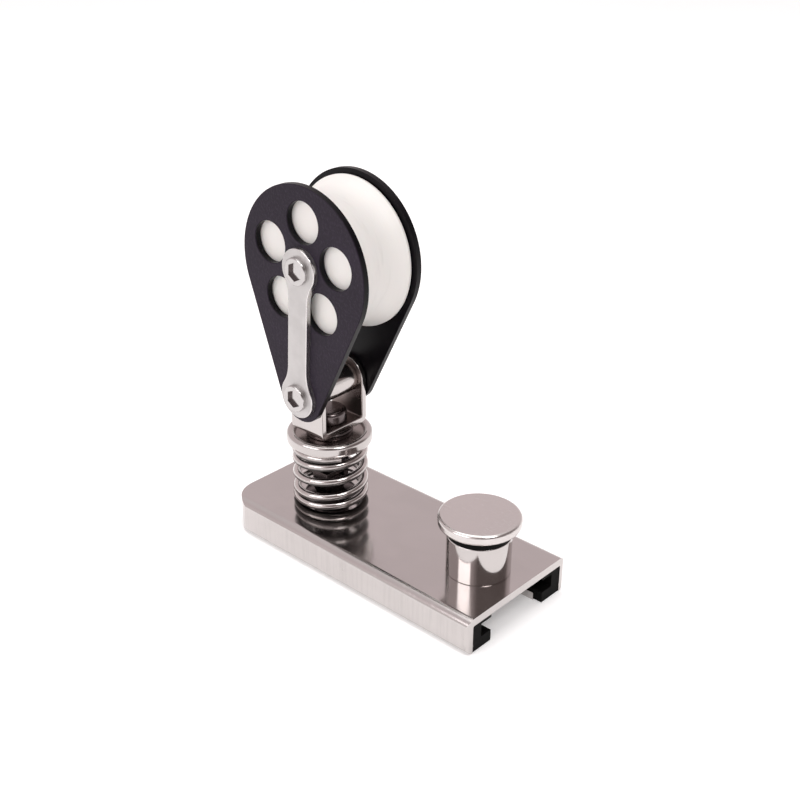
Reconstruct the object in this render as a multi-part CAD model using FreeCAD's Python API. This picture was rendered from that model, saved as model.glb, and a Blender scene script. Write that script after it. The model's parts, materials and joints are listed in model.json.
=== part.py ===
import FreeCAD
import Part
import math
import os

# Single sheave block that stands on a spring, fixed to a track slide with a stop plunger.
# Millimetres. +X runs along the slide towards the plunger, +Y across it, +Z up.
# The origin is at the middle of the slide's footprint, on the plane of its underside.

V = FreeCAD.Vector
ORIGIN = V(0, 0, 0)
ALONG_X = V(1, 0, 0)
ALONG_Y = V(0, 1, 0)
ALONG_Z = V(0, 0, 1)

# Fits
RUNNING = 0.05          # radial clearance of a turning pin
SIDE_GAP = 0.3          # side clearance between jaws and eyes

# Slide channel, bent from sheet
SLIDE_LENGTH = 100.0
SLIDE_WIDTH = 45.4
SLIDE_HEIGHT = 11.8
SHEET = 2.5
BEND_OUTER = 3.0
LIP_GAP = 23.0          # open slot for the track's stem
REAR_CORNER = 10.0      # plan radius of the two corners at -X
FRONT_CORNER = 1.5      # plan radius of the two corners at +X
CAVITY_TOP = SLIDE_HEIGHT - SHEET
CAVITY_HALF = SLIDE_WIDTH / 2 - SHEET

# Liners, which fill the channel's sides and run on the track's flange
TRACK_WIDTH = 32.0
TRACK_FLANGE = 4.0
TRACK_PLAY = 0.4
LINER_LEG_HALF = 12.0   # inner edge of the liner's legs, from the centre line
LINER_CORNER = 0.8
LINER_INSET = 0.2
LINER_TOE = 3.0         # length of the toes that hook over the lips' ends
LINER_TOE_LIFT = 0.2    # the toes stay clear of the surface under the slide

# Stand-up joint: two hinges at right angles inside a coil spring
STAND_X = -26.0
PADEYE_FLANGE_R = 8.5
PADEYE_FLANGE = 1.6
PADEYE_CHAMFER = 0.4
PADEYE_SPIGOT_R = 3.5
RIVET_HEAD_R = 4.8
RIVET_HEAD = 0.6
EYE_R = 3.2
EYE_HALF = 2.5
JAW_THICK = 2.0
CROSS_PIN_R = 2.0
CROSS_PIN_PROUD = 0.35
LOWER_PIN_Z = SLIDE_HEIGHT + PADEYE_FLANGE + EYE_R + SIDE_GAP
TOGGLE_BRIDGE = 1.6
UPPER_PIN_Z = LOWER_PIN_Z + 2 * EYE_R + 2 * SIDE_GAP + TOGGLE_BRIDGE
JAW_INNER = EYE_HALF + SIDE_GAP
JAW_OUTER = JAW_INNER + JAW_THICK

SPRING_OUTER_R = 12.05
SPRING_WIRE_R = 1.3
SPRING_TURNS = 4.3
SPRING_FRONT_ANGLE = -135.0     # plan angle where the lowest turn starts

CUP_Z = 31.9            # underside of the spring cup
CUP_FLOOR = 3.0
CUP_HEIGHT = 4.2
CUP_R = 13.5
CUP_RIM_R = 1.35
CUP_INNER_SLOPE = 0.4   # how far the inner wall leans in at the floor
POST_SHOULDER_R = 7.5
POST_R = 3.5
THRUST_WASHER_R = 7.4
THRUST_WASHER_EDGE = 0.4
SWIVEL_GAP = 0.1

# Fork, a U strap that swivels on the post
FORK_Z = 37.0
FORK_OUTER = 9.7
FORK_STRAP = 2.0
FORK_WEB = 2.2
FORK_HALF_WIDTH = 6.8
FORK_BEND = 2.2
FORK_INNER_BEND = 0.6
FORK_PIN_Z = 51.4
FORK_PIN_R = 3.5
SPACER_R = 5.0
SWIVEL_NUT_R = 5.5
SWIVEL_NUT_HEIGHT = 3.9
SWIVEL_NUT_EDGE = 1.4
SWIVEL_NUT_ROOF = 1.2
SWIVEL_NUT_Z = FORK_Z + FORK_WEB + SWIVEL_GAP
SHANK_TOP = SWIVEL_NUT_Z + SWIVEL_NUT_HEIGHT - SWIVEL_NUT_ROOF

# Head, built upright above the fork pin and then leaned
HEAD_LEAN = 3.5         # degrees towards +X at rest
AXLE_RISE = 41.2        # axle above fork pin
AXLE_R = 4.0
CHEEK_INNER = 9.9
CHEEK_THICK = 2.0
CHEEK_TOP_R = 24.7
CHEEK_FOOT_R = 8.5
CHEEK_EDGE = 0.6
WINDOW_R = 6.3
WINDOW_CIRCLE_R = 14.0
WINDOW_COUNT = 5
STRAP_THICK = 1.6
STRAP_END_R = 6.6
STRAP_HALF_WAIST = 3.9
STRAP_NECK_R = 12.0
STRAP_EDGE = 0.3
SCREW_R = 2.5
SCREW_LENGTH = 8.0
SCREW_HEAD_R = 4.2
SCREW_HEAD = 1.3
SCREW_HEAD_EDGE = 0.45
SCREW_SOCKET = 5.0      # across flats
SCREW_SOCKET_DEPTH = 1.1
THREAD_RUNOUT = 0.5     # tapped depth past the screw's end

SHEAVE_R = 23.0
SHEAVE_HALF = 9.5
SHEAVE_LAND = 0.9       # flat rim each side of the groove
SHEAVE_GROOVE = 2.6     # groove depth
BUSH_R = 6.0
BUSH_HALF = 9.75

# Stop plunger
PLUNGER_X = 35.0
BARREL_R = 9.6
BARREL_TOP = 25.3
BARREL_BORE_R = 6.5
BARREL_FLOOR = 1.2
BARREL_EDGE = 0.3
SPIGOT_R = 7.0
BARREL_MOUTH_R = 8.6    # the mouth is turned down for the guide bush's skirt
GUIDE_SKIRT_Z = 24.0
GUIDE_LOW_Z = 24.4
GUIDE_RIM = 1.5         # the guide bush's rim, which cushions the cap
GUIDE_TOP = BARREL_TOP + GUIDE_RIM
PIN_R = 4.0             # nose that enters the track's hole
PIN_TIP_Z = 2.0
PIN_CHAMFER = 0.8
PIN_NOSE_TOP = 8.6
PIN_RELIEF_R = 3.6
PIN_GUIDE_R = 4.5       # thicker stretch that runs in the barrel's floor
PIN_GUIDE_Z = 9.0
ROD_R = 2.5
COLLAR_R = 6.2
COLLAR = 1.5
CAP_R = 12.25
CAP_HEIGHT = 3.3
CAP_GAP = 0.1
CAP_Z = GUIDE_TOP + CAP_GAP
COLLAR_Z = SLIDE_HEIGHT + BARREL_FLOOR + CAP_GAP
CAP_EDGE = 1.1
ROD_IN_CAP = 2.0
RETURN_WIRE_R = 0.4
RETURN_COIL_R = 4.6
RETURN_TURNS = 4.0


def box(x_low, x_high, y_low, y_high, z_low, z_high):
    size = (x_high - x_low, y_high - y_low, z_high - z_low)
    return Part.makeBox(size[0], size[1], size[2], V(x_low, y_low, z_low))


def rod_z(radius, x, y, z_low, z_high):
    return Part.makeCylinder(radius, z_high - z_low, V(x, y, z_low), ALONG_Z)


def rod_x(radius, z, x_low, x_high):
    return Part.makeCylinder(radius, x_high - x_low, V(x_low, 0, z), ALONG_X)


def rod_y(radius, x, z, y_low, y_high):
    return Part.makeCylinder(radius, y_high - y_low, V(x, y_low, z), ALONG_Y)


def edges_along(shape, direction):
    """The straight edges of a shape that run along a direction."""
    found = []
    for edge in shape.Edges:
        if isinstance(edge.Curve, Part.Line):
            if abs(edge.Curve.Direction.dot(direction)) > 0.999:
                found.append(edge)
    return found


def edges_at(shape, direction, height):
    """The edges that lie wholly in the plane at a height along a direction."""
    found = []
    for edge in shape.Edges:
        low = edge.BoundBox
        corners = (V(low.XMin, low.YMin, low.ZMin), V(low.XMax, low.YMax, low.ZMax))
        if all(abs(corner.dot(direction) - height) < 1e-4 for corner in corners):
            found.append(edge)
    return found


def turned(points, x=0.0):
    """Revolve (radius, height) points about Z; a pair of points is the middle and end of an arc."""
    edges = []
    last = None
    for item in points:
        if isinstance(item[0], tuple):
            middle = V(item[0][0], 0, item[0][1])
            end = V(item[1][0], 0, item[1][1])
            edges.append(Part.Arc(last, middle, end).toShape())
        else:
            end = V(item[0], 0, item[1])
            if last is not None:
                edges.append(Part.LineSegment(last, end).toShape())
        last = end
    start = edges[0].Vertexes[0].Point
    if last.distanceToPoint(start) > 1e-6:
        edges.append(Part.LineSegment(last, start).toShape())
    face = Part.Face(Part.Wire(edges))
    solid = face.revolve(ORIGIN, ALONG_Z, 360)
    solid.translate(V(x, 0, 0))
    return solid


def arc_corner(centre, radius, start, end):
    """The middle and end of an arc about a centre, for turned()."""
    middle = math.radians((start + end) / 2)
    stop = math.radians(end)
    first = (centre[0] + radius * math.cos(middle), centre[1] + radius * math.sin(middle))
    second = (centre[0] + radius * math.cos(stop), centre[1] + radius * math.sin(stop))
    return (first, second)


def coil(coil_radius, wire_radius, heights, start_angle):
    """Round wire wound through a list of (turns, height) points, with both ends ground flat."""
    steps_per_turn = 24
    turns = heights[-1][0]
    count = int(round(turns * steps_per_turn))
    points = []
    for step in range(count + 1):
        turn = turns * step / count
        z = heights[-1][1]
        for low, high in zip(heights, heights[1:]):
            if low[0] <= turn <= high[0]:
                share = (turn - low[0]) / (high[0] - low[0])
                z = low[1] + share * (high[1] - low[1])
                break
        angle = math.radians(start_angle) + 2 * math.pi * turn
        points.append(V(coil_radius * math.cos(angle), coil_radius * math.sin(angle), z))
    curve = Part.BSplineCurve()
    curve.approximate(Points=points, DegMin=3, DegMax=5, Tolerance=0.01)
    path = Part.Wire([curve.toShape()])
    circle = Part.Circle(points[0], curve.tangent(curve.FirstParameter)[0], wire_radius)
    section = Part.Wire([circle.toShape()])
    return path.makePipeShell([section], True, True)


def plan_outline(inset):
    """The slide's outline seen from above, as a tall prism, drawn in by an inset."""
    half_length = SLIDE_LENGTH / 2 - inset
    half_width = SLIDE_WIDTH / 2
    prism = box(-half_length, half_length, -half_width, half_width, -1, SLIDE_HEIGHT + 1)
    rear = [edge for edge in edges_along(prism, ALONG_Z) if edge.Vertexes[0].X < 0]
    prism = prism.makeFillet(REAR_CORNER, rear)
    front = [edge for edge in edges_along(prism, ALONG_Z) if edge.Vertexes[0].X > half_length - 0.1]
    return prism.makeFillet(FRONT_CORNER, front)


def rounded_bar(half_width, z_low, z_high, radius):
    """A bar along X with its four long edges rounded."""
    bar = box(-SLIDE_LENGTH, SLIDE_LENGTH, -half_width, half_width, z_low, z_high)
    return bar.makeFillet(radius, edges_along(bar, ALONG_X))


def lip_ends(lift, edge):
    """The ends of the lower lips, which the liners' toes take the place of."""
    blocks = []
    half = SLIDE_LENGTH / 2
    for x_low in (-half, half - LINER_TOE):
        for y_low in (-CAVITY_HALF, LIP_GAP / 2 + edge):
            y_high = y_low + CAVITY_HALF - LIP_GAP / 2 - edge
            blocks.append(box(x_low, x_low + LINER_TOE, y_low, y_high, lift, SHEET))
    return Part.makeCompound(blocks)


def make_slide_channel():
    outside = rounded_bar(SLIDE_WIDTH / 2, 0, SLIDE_HEIGHT, BEND_OUTER)
    inside = rounded_bar(CAVITY_HALF, SHEET, CAVITY_TOP, BEND_OUTER - SHEET)
    slot = box(-SLIDE_LENGTH, SLIDE_LENGTH, -LIP_GAP / 2, LIP_GAP / 2, -1, SHEET + 1)
    channel = outside.cut(inside).cut(slot).common(plan_outline(0))
    channel = channel.cut(rod_z(PADEYE_SPIGOT_R, STAND_X, 0, CAVITY_TOP - 1, SLIDE_HEIGHT + 1))
    channel = channel.cut(rod_z(SPIGOT_R, PLUNGER_X, 0, CAVITY_TOP - 1, SLIDE_HEIGHT + 1))
    return channel.cut(lip_ends(0, 0))


def make_liner(side):
    whole = rounded_bar(CAVITY_HALF, SHEET, CAVITY_TOP, LINER_CORNER)
    half = box(-SLIDE_LENGTH, SLIDE_LENGTH, LINER_LEG_HALF, CAVITY_HALF + 1, 0, SLIDE_HEIGHT)
    groove_half = TRACK_WIDTH / 2 + TRACK_PLAY
    groove_high = TRACK_FLANGE + TRACK_PLAY
    groove_low = (SHEET + CAVITY_TOP - groove_high) / 2
    groove = box(-SLIDE_LENGTH, SLIDE_LENGTH, 0, groove_half, groove_low, groove_low + groove_high)
    liner = whole.common(half).cut(groove)
    toes = lip_ends(LINER_TOE_LIFT, LINER_LEG_HALF - LIP_GAP / 2)
    liner = liner.fuse(toes.common(half)).common(plan_outline(LINER_INSET)).removeSplitter()
    if side < 0:
        liner = liner.mirror(ORIGIN, ALONG_Y)
    return liner


def make_base_padeye():
    flange_top = SLIDE_HEIGHT + PADEYE_FLANGE
    flange = rod_z(PADEYE_FLANGE_R, STAND_X, 0, SLIDE_HEIGHT, flange_top)
    flange = flange.makeChamfer(PADEYE_CHAMFER, edges_at(flange, ALONG_Z, flange_top))
    spigot = rod_z(PADEYE_SPIGOT_R, STAND_X, 0, CAVITY_TOP, SLIDE_HEIGHT)
    riveted_end = rod_z(RIVET_HEAD_R, STAND_X, 0, CAVITY_TOP - RIVET_HEAD, CAVITY_TOP)
    stem = box(STAND_X - EYE_R, STAND_X + EYE_R, -EYE_HALF, EYE_HALF, flange_top, LOWER_PIN_Z)
    eye = rod_y(EYE_R, STAND_X, LOWER_PIN_Z, -EYE_HALF, EYE_HALF)
    hole = rod_y(CROSS_PIN_R + RUNNING, STAND_X, LOWER_PIN_Z, -EYE_HALF - 1, EYE_HALF + 1)
    return flange.fuse([spigot, riveted_end, stem, eye]).cut(hole).removeSplitter()


def make_toggle_link():
    """A link with jaws below, across Y, and an eye above, across X."""
    bridge_low = LOWER_PIN_Z + EYE_R + SIDE_GAP
    bridge_high = bridge_low + TOGGLE_BRIDGE
    link = box(-EYE_R, EYE_R, -JAW_OUTER, JAW_OUTER, bridge_low, bridge_high)
    for side in (-1, 1):
        y_low = min(side * JAW_INNER, side * JAW_OUTER)
        y_high = y_low + JAW_THICK
        link = link.fuse(box(-EYE_R, EYE_R, y_low, y_high, LOWER_PIN_Z, bridge_low))
        link = link.fuse(rod_y(EYE_R, 0, LOWER_PIN_Z, y_low, y_high))
    link = link.fuse(box(-EYE_HALF, EYE_HALF, -EYE_R, EYE_R, bridge_high, UPPER_PIN_Z))
    link = link.fuse(rod_x(EYE_R, UPPER_PIN_Z, -EYE_HALF, EYE_HALF))
    link = link.cut(rod_y(CROSS_PIN_R, 0, LOWER_PIN_Z, -JAW_OUTER - 1, JAW_OUTER + 1))
    link = link.cut(rod_x(CROSS_PIN_R + RUNNING, UPPER_PIN_Z, -EYE_HALF - 1, EYE_HALF + 1))
    link = link.removeSplitter()
    link.translate(V(STAND_X, 0, 0))
    return link


def make_cross_pin():
    """A pin along Z, centred on the origin, with slightly rounded ends."""
    half = JAW_OUTER + CROSS_PIN_PROUD
    pin = rod_z(CROSS_PIN_R, 0, 0, -half, half)
    ends = edges_at(pin, ALONG_Z, -half) + edges_at(pin, ALONG_Z, half)
    return pin.makeFillet(CROSS_PIN_PROUD - 0.05, ends)


def make_lower_cross_pin():
    pin = make_cross_pin()
    pin.rotate(ORIGIN, ALONG_X, 90)
    pin.translate(V(STAND_X, 0, LOWER_PIN_Z))
    return pin


def make_upper_cross_pin():
    pin = make_cross_pin()
    pin.rotate(ORIGIN, ALONG_Y, 90)
    pin.translate(V(STAND_X, 0, UPPER_PIN_Z))
    return pin


def make_swivel_post():
    """Jaws below, a shoulder under the spring cup, and a shank up through the fork."""
    shoulder_low = UPPER_PIN_Z + EYE_R + SIDE_GAP
    post = rod_z(POST_SHOULDER_R, 0, 0, shoulder_low, CUP_Z)
    for side in (-1, 1):
        x_low = min(side * JAW_INNER, side * JAW_OUTER)
        x_high = x_low + JAW_THICK
        post = post.fuse(box(x_low, x_high, -EYE_R, EYE_R, UPPER_PIN_Z, shoulder_low))
        post = post.fuse(rod_x(EYE_R, UPPER_PIN_Z, x_low, x_high))
    post = post.fuse(rod_z(POST_R, 0, 0, CUP_Z, SHANK_TOP))
    post = post.cut(rod_x(CROSS_PIN_R, UPPER_PIN_Z, -JAW_OUTER - 1, JAW_OUTER + 1))
    post = post.removeSplitter()
    post.translate(V(STAND_X, 0, 0))
    return post


def make_spring_cup():
    top = CUP_Z + CUP_HEIGHT
    rim_middle = CUP_R - CUP_RIM_R
    low_centre = (rim_middle, CUP_Z + CUP_RIM_R)
    high_centre = (rim_middle, top - CUP_RIM_R)
    points = [
        (POST_R, CUP_Z),
        (rim_middle, CUP_Z),
        arc_corner(low_centre, CUP_RIM_R, -90, 0),
        (CUP_R, top - CUP_RIM_R),
        arc_corner(high_centre, CUP_RIM_R, 0, 180),
        (CUP_R - 2 * CUP_RIM_R - CUP_INNER_SLOPE, CUP_Z + CUP_FLOOR),
        (POST_R, CUP_Z + CUP_FLOOR),
    ]
    return turned(points, STAND_X)


def make_thrust_washer():
    low = CUP_Z + CUP_FLOOR
    high = FORK_Z - SWIVEL_GAP
    washer = rod_z(THRUST_WASHER_R, STAND_X, 0, low, high)
    washer = washer.cut(rod_z(POST_R, STAND_X, 0, low - 1, high + 1))
    circles = [edge for edge in washer.Edges if isinstance(edge.Curve, Part.Circle)]
    rims = [edge for edge in circles if edge.Curve.Radius > POST_R + 1]
    return washer.makeFillet(THRUST_WASHER_EDGE, rims)


def make_swivel_nut():
    """A domed nut that keeps the fork on the post."""
    top = SWIVEL_NUT_Z + SWIVEL_NUT_HEIGHT
    centre = (SWIVEL_NUT_R - SWIVEL_NUT_EDGE, top - SWIVEL_NUT_EDGE)
    points = [
        (POST_R, SWIVEL_NUT_Z),
        (SWIVEL_NUT_R, SWIVEL_NUT_Z),
        (SWIVEL_NUT_R, top - SWIVEL_NUT_EDGE),
        arc_corner(centre, SWIVEL_NUT_EDGE, 0, 90),
        (0, top),
        (0, SHANK_TOP),
        (POST_R, SHANK_TOP),
    ]
    return turned(points, STAND_X)


def make_stand_up_spring():
    low = SLIDE_HEIGHT + SPRING_WIRE_R
    high = CUP_Z - SPRING_WIRE_R
    closed = 2 * SPRING_WIRE_R
    heights = [
        (0.0, low),
        (1.0, low + closed),
        (SPRING_TURNS - 1.0, high - closed),
        (SPRING_TURNS, high),
    ]
    spring = coil(SPRING_OUTER_R - SPRING_WIRE_R, SPRING_WIRE_R, heights, SPRING_FRONT_ANGLE)
    spring.translate(V(STAND_X, 0, 0))
    reach = SPRING_OUTER_R + 2
    between = box(STAND_X - reach, STAND_X + reach, -reach, reach, SLIDE_HEIGHT, CUP_Z)
    return spring.common(between)


def make_fork():
    half_x = FORK_HALF_WIDTH
    block = box(-half_x, half_x, -FORK_OUTER, FORK_OUTER, FORK_Z, FORK_PIN_Z)
    bends = [edge for edge in edges_along(block, ALONG_X) if edge.Vertexes[0].Z < FORK_Z + 0.1]
    block = block.makeFillet(FORK_BEND, bends)
    block = block.fuse(rod_y(half_x, 0, FORK_PIN_Z, -FORK_OUTER, FORK_OUTER))
    inner = FORK_OUTER - FORK_STRAP
    space_top = FORK_PIN_Z + half_x + 1
    space = box(-half_x - 1, half_x + 1, -inner, inner, FORK_Z + FORK_WEB, space_top)
    inner_bends = [edge for edge in edges_along(space, ALONG_X) if edge.Vertexes[0].Z < FORK_PIN_Z]
    space = space.makeFillet(FORK_INNER_BEND, inner_bends)
    fork = block.cut(space)
    fork = fork.cut(rod_y(FORK_PIN_R + RUNNING, 0, FORK_PIN_Z, -FORK_OUTER - 1, FORK_OUTER + 1))
    fork = fork.cut(rod_z(POST_R + RUNNING, 0, 0, FORK_Z - 1, FORK_Z + FORK_WEB + 1))
    fork = fork.removeSplitter()
    fork.translate(V(STAND_X, 0, 0))
    return fork


def make_spacer_tube():
    half = FORK_OUTER - FORK_STRAP
    tube = rod_y(SPACER_R, STAND_X, FORK_PIN_Z, -half, half)
    return tube.cut(rod_y(FORK_PIN_R + RUNNING, STAND_X, FORK_PIN_Z, -half - 1, half + 1))


def leaned(shape):
    """Move a shape made about the fork pin at the origin to its place on the leaning head."""
    shape.rotate(ORIGIN, ALONG_Y, HEAD_LEAN)
    shape.translate(V(STAND_X, 0, FORK_PIN_Z))
    return shape


def slab(wire, y_low, y_high):
    """A flat plate from a wire drawn in the plane y = 0."""
    plate = Part.Face(wire).extrude(V(0, y_high - y_low, 0))
    plate.translate(V(0, y_low, 0))
    return plate


def arc_xz(x, z, radius, start, end):
    """An arc in the plane y = 0, its angles measured from +X towards +Z."""
    def at(angle):
        turn = math.radians(angle)
        return V(x + radius * math.cos(turn), 0, z + radius * math.sin(turn))
    return Part.Arc(at(start), at((start + end) / 2), at(end))


def closed_wire(arcs):
    """Join arcs in order with straight lines where their ends don't meet."""
    edges = []
    for arc, following in zip(arcs, arcs[1:] + arcs[:1]):
        edges.append(arc.toShape())
        gap = arc.EndPoint.distanceToPoint(following.StartPoint)
        if gap > 1e-6:
            edges.append(Part.LineSegment(arc.EndPoint, following.StartPoint).toShape())
    return Part.Wire(edges)


def cheek_wire():
    """Teardrop: a large circle about the axle and a small one about the fork pin, joined by tangents."""
    slope = math.degrees(math.asin((CHEEK_TOP_R - CHEEK_FOOT_R) / AXLE_RISE))
    top = arc_xz(0, AXLE_RISE, CHEEK_TOP_R, -slope, 180 + slope)
    foot = arc_xz(0, 0, CHEEK_FOOT_R, 180 + slope, 360 - slope)
    return closed_wire([top, foot])


def strap_wire():
    """Dog bone: two round ends joined by a narrower waist through concave necks."""
    reach = STRAP_END_R + STRAP_NECK_R
    across = STRAP_HALF_WAIST + STRAP_NECK_R
    turn = math.degrees(math.acos(across / reach))
    along = reach * math.sin(math.radians(turn))
    arcs = [
        arc_xz(0, AXLE_RISE, STRAP_END_R, -turn, 180 + turn),
        arc_xz(-across, AXLE_RISE - along, STRAP_NECK_R, turn, 0),
        arc_xz(-across, along, STRAP_NECK_R, 0, -turn),
        arc_xz(0, 0, STRAP_END_R, 180 - turn, 360 + turn),
        arc_xz(across, along, STRAP_NECK_R, 180 + turn, 180),
        arc_xz(across, AXLE_RISE - along, STRAP_NECK_R, 180, 180 - turn),
    ]
    return closed_wire(arcs)


def make_cheek(side):
    outer = CHEEK_INNER + CHEEK_THICK
    cheek = slab(cheek_wire(), CHEEK_INNER, outer)
    cheek = cheek.makeFillet(CHEEK_EDGE, edges_at(cheek, ALONG_Y, outer))
    holes = [
        rod_y(AXLE_R, 0, AXLE_RISE, CHEEK_INNER - 1, outer + 1),
        rod_y(FORK_PIN_R, 0, 0, CHEEK_INNER - 1, outer + 1),
    ]
    for number in range(WINDOW_COUNT):
        angle = math.radians(90 + 360 * number / WINDOW_COUNT)
        x = WINDOW_CIRCLE_R * math.cos(angle)
        z = AXLE_RISE + WINDOW_CIRCLE_R * math.sin(angle)
        holes.append(rod_y(WINDOW_R, x, z, CHEEK_INNER - 1, outer + 1))
    cheek = cheek.cut(holes)
    if side < 0:
        cheek = cheek.mirror(ORIGIN, ALONG_Y)
    return leaned(cheek)


def make_strap(side):
    inner = CHEEK_INNER + CHEEK_THICK
    outer = inner + STRAP_THICK
    strap = slab(strap_wire(), inner, outer)
    strap = strap.makeChamfer(STRAP_EDGE, edges_at(strap, ALONG_Y, outer))
    for z in (0, AXLE_RISE):
        strap = strap.cut(rod_y(SCREW_R, 0, z, inner - 1, outer + 1))
    if side < 0:
        strap = strap.mirror(ORIGIN, ALONG_Y)
    return leaned(strap)


def make_tapped_pin(radius, z):
    """A pin between the two straps with a blind tapped hole in each end."""
    half = CHEEK_INNER + CHEEK_THICK
    pin = rod_y(radius, 0, z, -half, half)
    depth = SCREW_LENGTH - STRAP_THICK + THREAD_RUNOUT
    pin = pin.cut(rod_y(SCREW_R, 0, z, -half, -half + depth))
    pin = pin.cut(rod_y(SCREW_R, 0, z, half - depth, half))
    return leaned(pin)


def make_screw():
    """A low-head socket screw along Z with the underside of its head at height 0."""
    head = rod_z(SCREW_HEAD_R, 0, 0, 0, SCREW_HEAD)
    head = head.makeFillet(SCREW_HEAD_EDGE, edges_at(head, ALONG_Z, SCREW_HEAD))
    corner_r = SCREW_SOCKET / 2 / math.cos(math.radians(30))
    corners = []
    for number in range(7):
        angle = math.radians(60 * number)
        x = corner_r * math.cos(angle)
        y = corner_r * math.sin(angle)
        corners.append(V(x, y, SCREW_HEAD - SCREW_SOCKET_DEPTH))
    socket = Part.Face(Part.makePolygon(corners)).extrude(V(0, 0, SCREW_HEAD))
    shank = rod_z(SCREW_R, 0, 0, -SCREW_LENGTH, 0)
    return head.fuse(shank).cut(socket).removeSplitter()


def make_strap_screws():
    """Four identical screws, one at each end of the axle and of the fork pin."""
    screws = []
    seat = CHEEK_INNER + CHEEK_THICK + STRAP_THICK
    for side in (-1, 1):
        for z in (0, AXLE_RISE):
            screw = make_screw()
            screw.rotate(ORIGIN, ALONG_X, -90 * side)
            screw.translate(V(0, side * seat, z))
            screws.append(leaned(screw))
    return Part.makeCompound(screws)


def on_axle(shape):
    """Turn a shape made about Z at the origin onto the leaning head's axle."""
    shape.rotate(ORIGIN, ALONG_X, -90)
    shape.translate(V(0, 0, AXLE_RISE))
    return leaned(shape)


def make_sheave():
    groove_half = SHEAVE_HALF - SHEAVE_LAND
    root = SHEAVE_R - SHEAVE_GROOVE
    points = [
        (BUSH_R, -SHEAVE_HALF),
        (SHEAVE_R, -SHEAVE_HALF),
        (SHEAVE_R, -groove_half),
        ((root, 0), (SHEAVE_R, groove_half)),
        (SHEAVE_R, SHEAVE_HALF),
        (BUSH_R, SHEAVE_HALF),
    ]
    return on_axle(turned(points))


def make_sheave_bush():
    bush = rod_z(BUSH_R, 0, 0, -BUSH_HALF, BUSH_HALF)
    bush = bush.cut(rod_z(AXLE_R + RUNNING, 0, 0, -BUSH_HALF - 1, BUSH_HALF + 1))
    return on_axle(bush)


def make_plunger_barrel():
    """A cup pressed into the plate by its spigot, with the pin's hole in its floor."""
    floor_top = SLIDE_HEIGHT + BARREL_FLOOR
    barrel = rod_z(BARREL_R, PLUNGER_X, 0, SLIDE_HEIGHT, GUIDE_SKIRT_Z)
    barrel = barrel.makeFillet(BARREL_EDGE, edges_at(barrel, ALONG_Z, GUIDE_SKIRT_Z))
    barrel = barrel.fuse(rod_z(BARREL_MOUTH_R, PLUNGER_X, 0, GUIDE_SKIRT_Z - 1, BARREL_TOP))
    barrel = barrel.fuse(rod_z(SPIGOT_R, PLUNGER_X, 0, CAVITY_TOP, SLIDE_HEIGHT))
    barrel = barrel.cut(rod_z(BARREL_BORE_R, PLUNGER_X, 0, floor_top, BARREL_TOP + 1))
    barrel = barrel.cut(rod_z(PIN_GUIDE_R + RUNNING, PLUNGER_X, 0, CAVITY_TOP - 1, floor_top + 1))
    return barrel.removeSplitter()


def make_barrel_bush():
    """A guide bush screwed into the barrel's mouth, with a skirt round the outside of the mouth."""
    rim = rod_z(BARREL_R, PLUNGER_X, 0, GUIDE_SKIRT_Z, GUIDE_TOP)
    rim = rim.cut(rod_z(BARREL_MOUTH_R, PLUNGER_X, 0, GUIDE_SKIRT_Z - 1, BARREL_TOP))
    bush = rim.fuse(rod_z(BARREL_BORE_R, PLUNGER_X, 0, GUIDE_LOW_Z, BARREL_TOP))
    return bush.cut(rod_z(ROD_R + RUNNING, PLUNGER_X, 0, GUIDE_LOW_Z - 1, GUIDE_TOP + 1))


def make_plunger_pin():
    """Stop pin, spring collar and pull rod in one turned piece."""
    rod_top = CAP_Z + ROD_IN_CAP
    points = [
        (0, PIN_TIP_Z),
        (PIN_R - PIN_CHAMFER, PIN_TIP_Z),
        (PIN_R, PIN_TIP_Z + PIN_CHAMFER),
        (PIN_R, PIN_NOSE_TOP),
        (PIN_RELIEF_R, PIN_NOSE_TOP),
        (PIN_RELIEF_R, PIN_GUIDE_Z),
        (PIN_GUIDE_R, PIN_GUIDE_Z),
        (PIN_GUIDE_R, COLLAR_Z),
        (COLLAR_R, COLLAR_Z),
        (COLLAR_R, COLLAR_Z + COLLAR),
        (ROD_R, COLLAR_Z + COLLAR),
        (ROD_R, rod_top),
        (0, rod_top),
    ]
    return turned(points, PLUNGER_X)


def make_plunger_spring():
    low = COLLAR_Z + COLLAR + RETURN_WIRE_R
    high = GUIDE_LOW_Z - RETURN_WIRE_R
    closed = 2 * RETURN_WIRE_R
    heights = [
        (0.0, low),
        (1.0, low + closed),
        (RETURN_TURNS - 1.0, high - closed),
        (RETURN_TURNS, high),
    ]
    spring = coil(RETURN_COIL_R, RETURN_WIRE_R, heights, 0.0)
    spring.translate(V(PLUNGER_X, 0, 0))
    reach = RETURN_COIL_R + 2
    low_face = COLLAR_Z + COLLAR
    between = box(PLUNGER_X - reach, PLUNGER_X + reach, -reach, reach, low_face, GUIDE_LOW_Z)
    return spring.common(between)


def make_plunger_cap():
    """A flat pull cap with a rounded rim, blind on the rod's end."""
    top = CAP_Z + CAP_HEIGHT
    low_centre = (CAP_R - CAP_EDGE, CAP_Z + CAP_EDGE)
    high_centre = (CAP_R - CAP_EDGE, top - CAP_EDGE)
    points = [
        (ROD_R, CAP_Z),
        (CAP_R - CAP_EDGE, CAP_Z),
        arc_corner(low_centre, CAP_EDGE, -90, 0),
        (CAP_R, top - CAP_EDGE),
        arc_corner(high_centre, CAP_EDGE, 0, 90),
        (0, top),
        (0, CAP_Z + ROD_IN_CAP),
        (ROD_R, CAP_Z + ROD_IN_CAP),
    ]
    return turned(points, PLUNGER_X)


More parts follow.
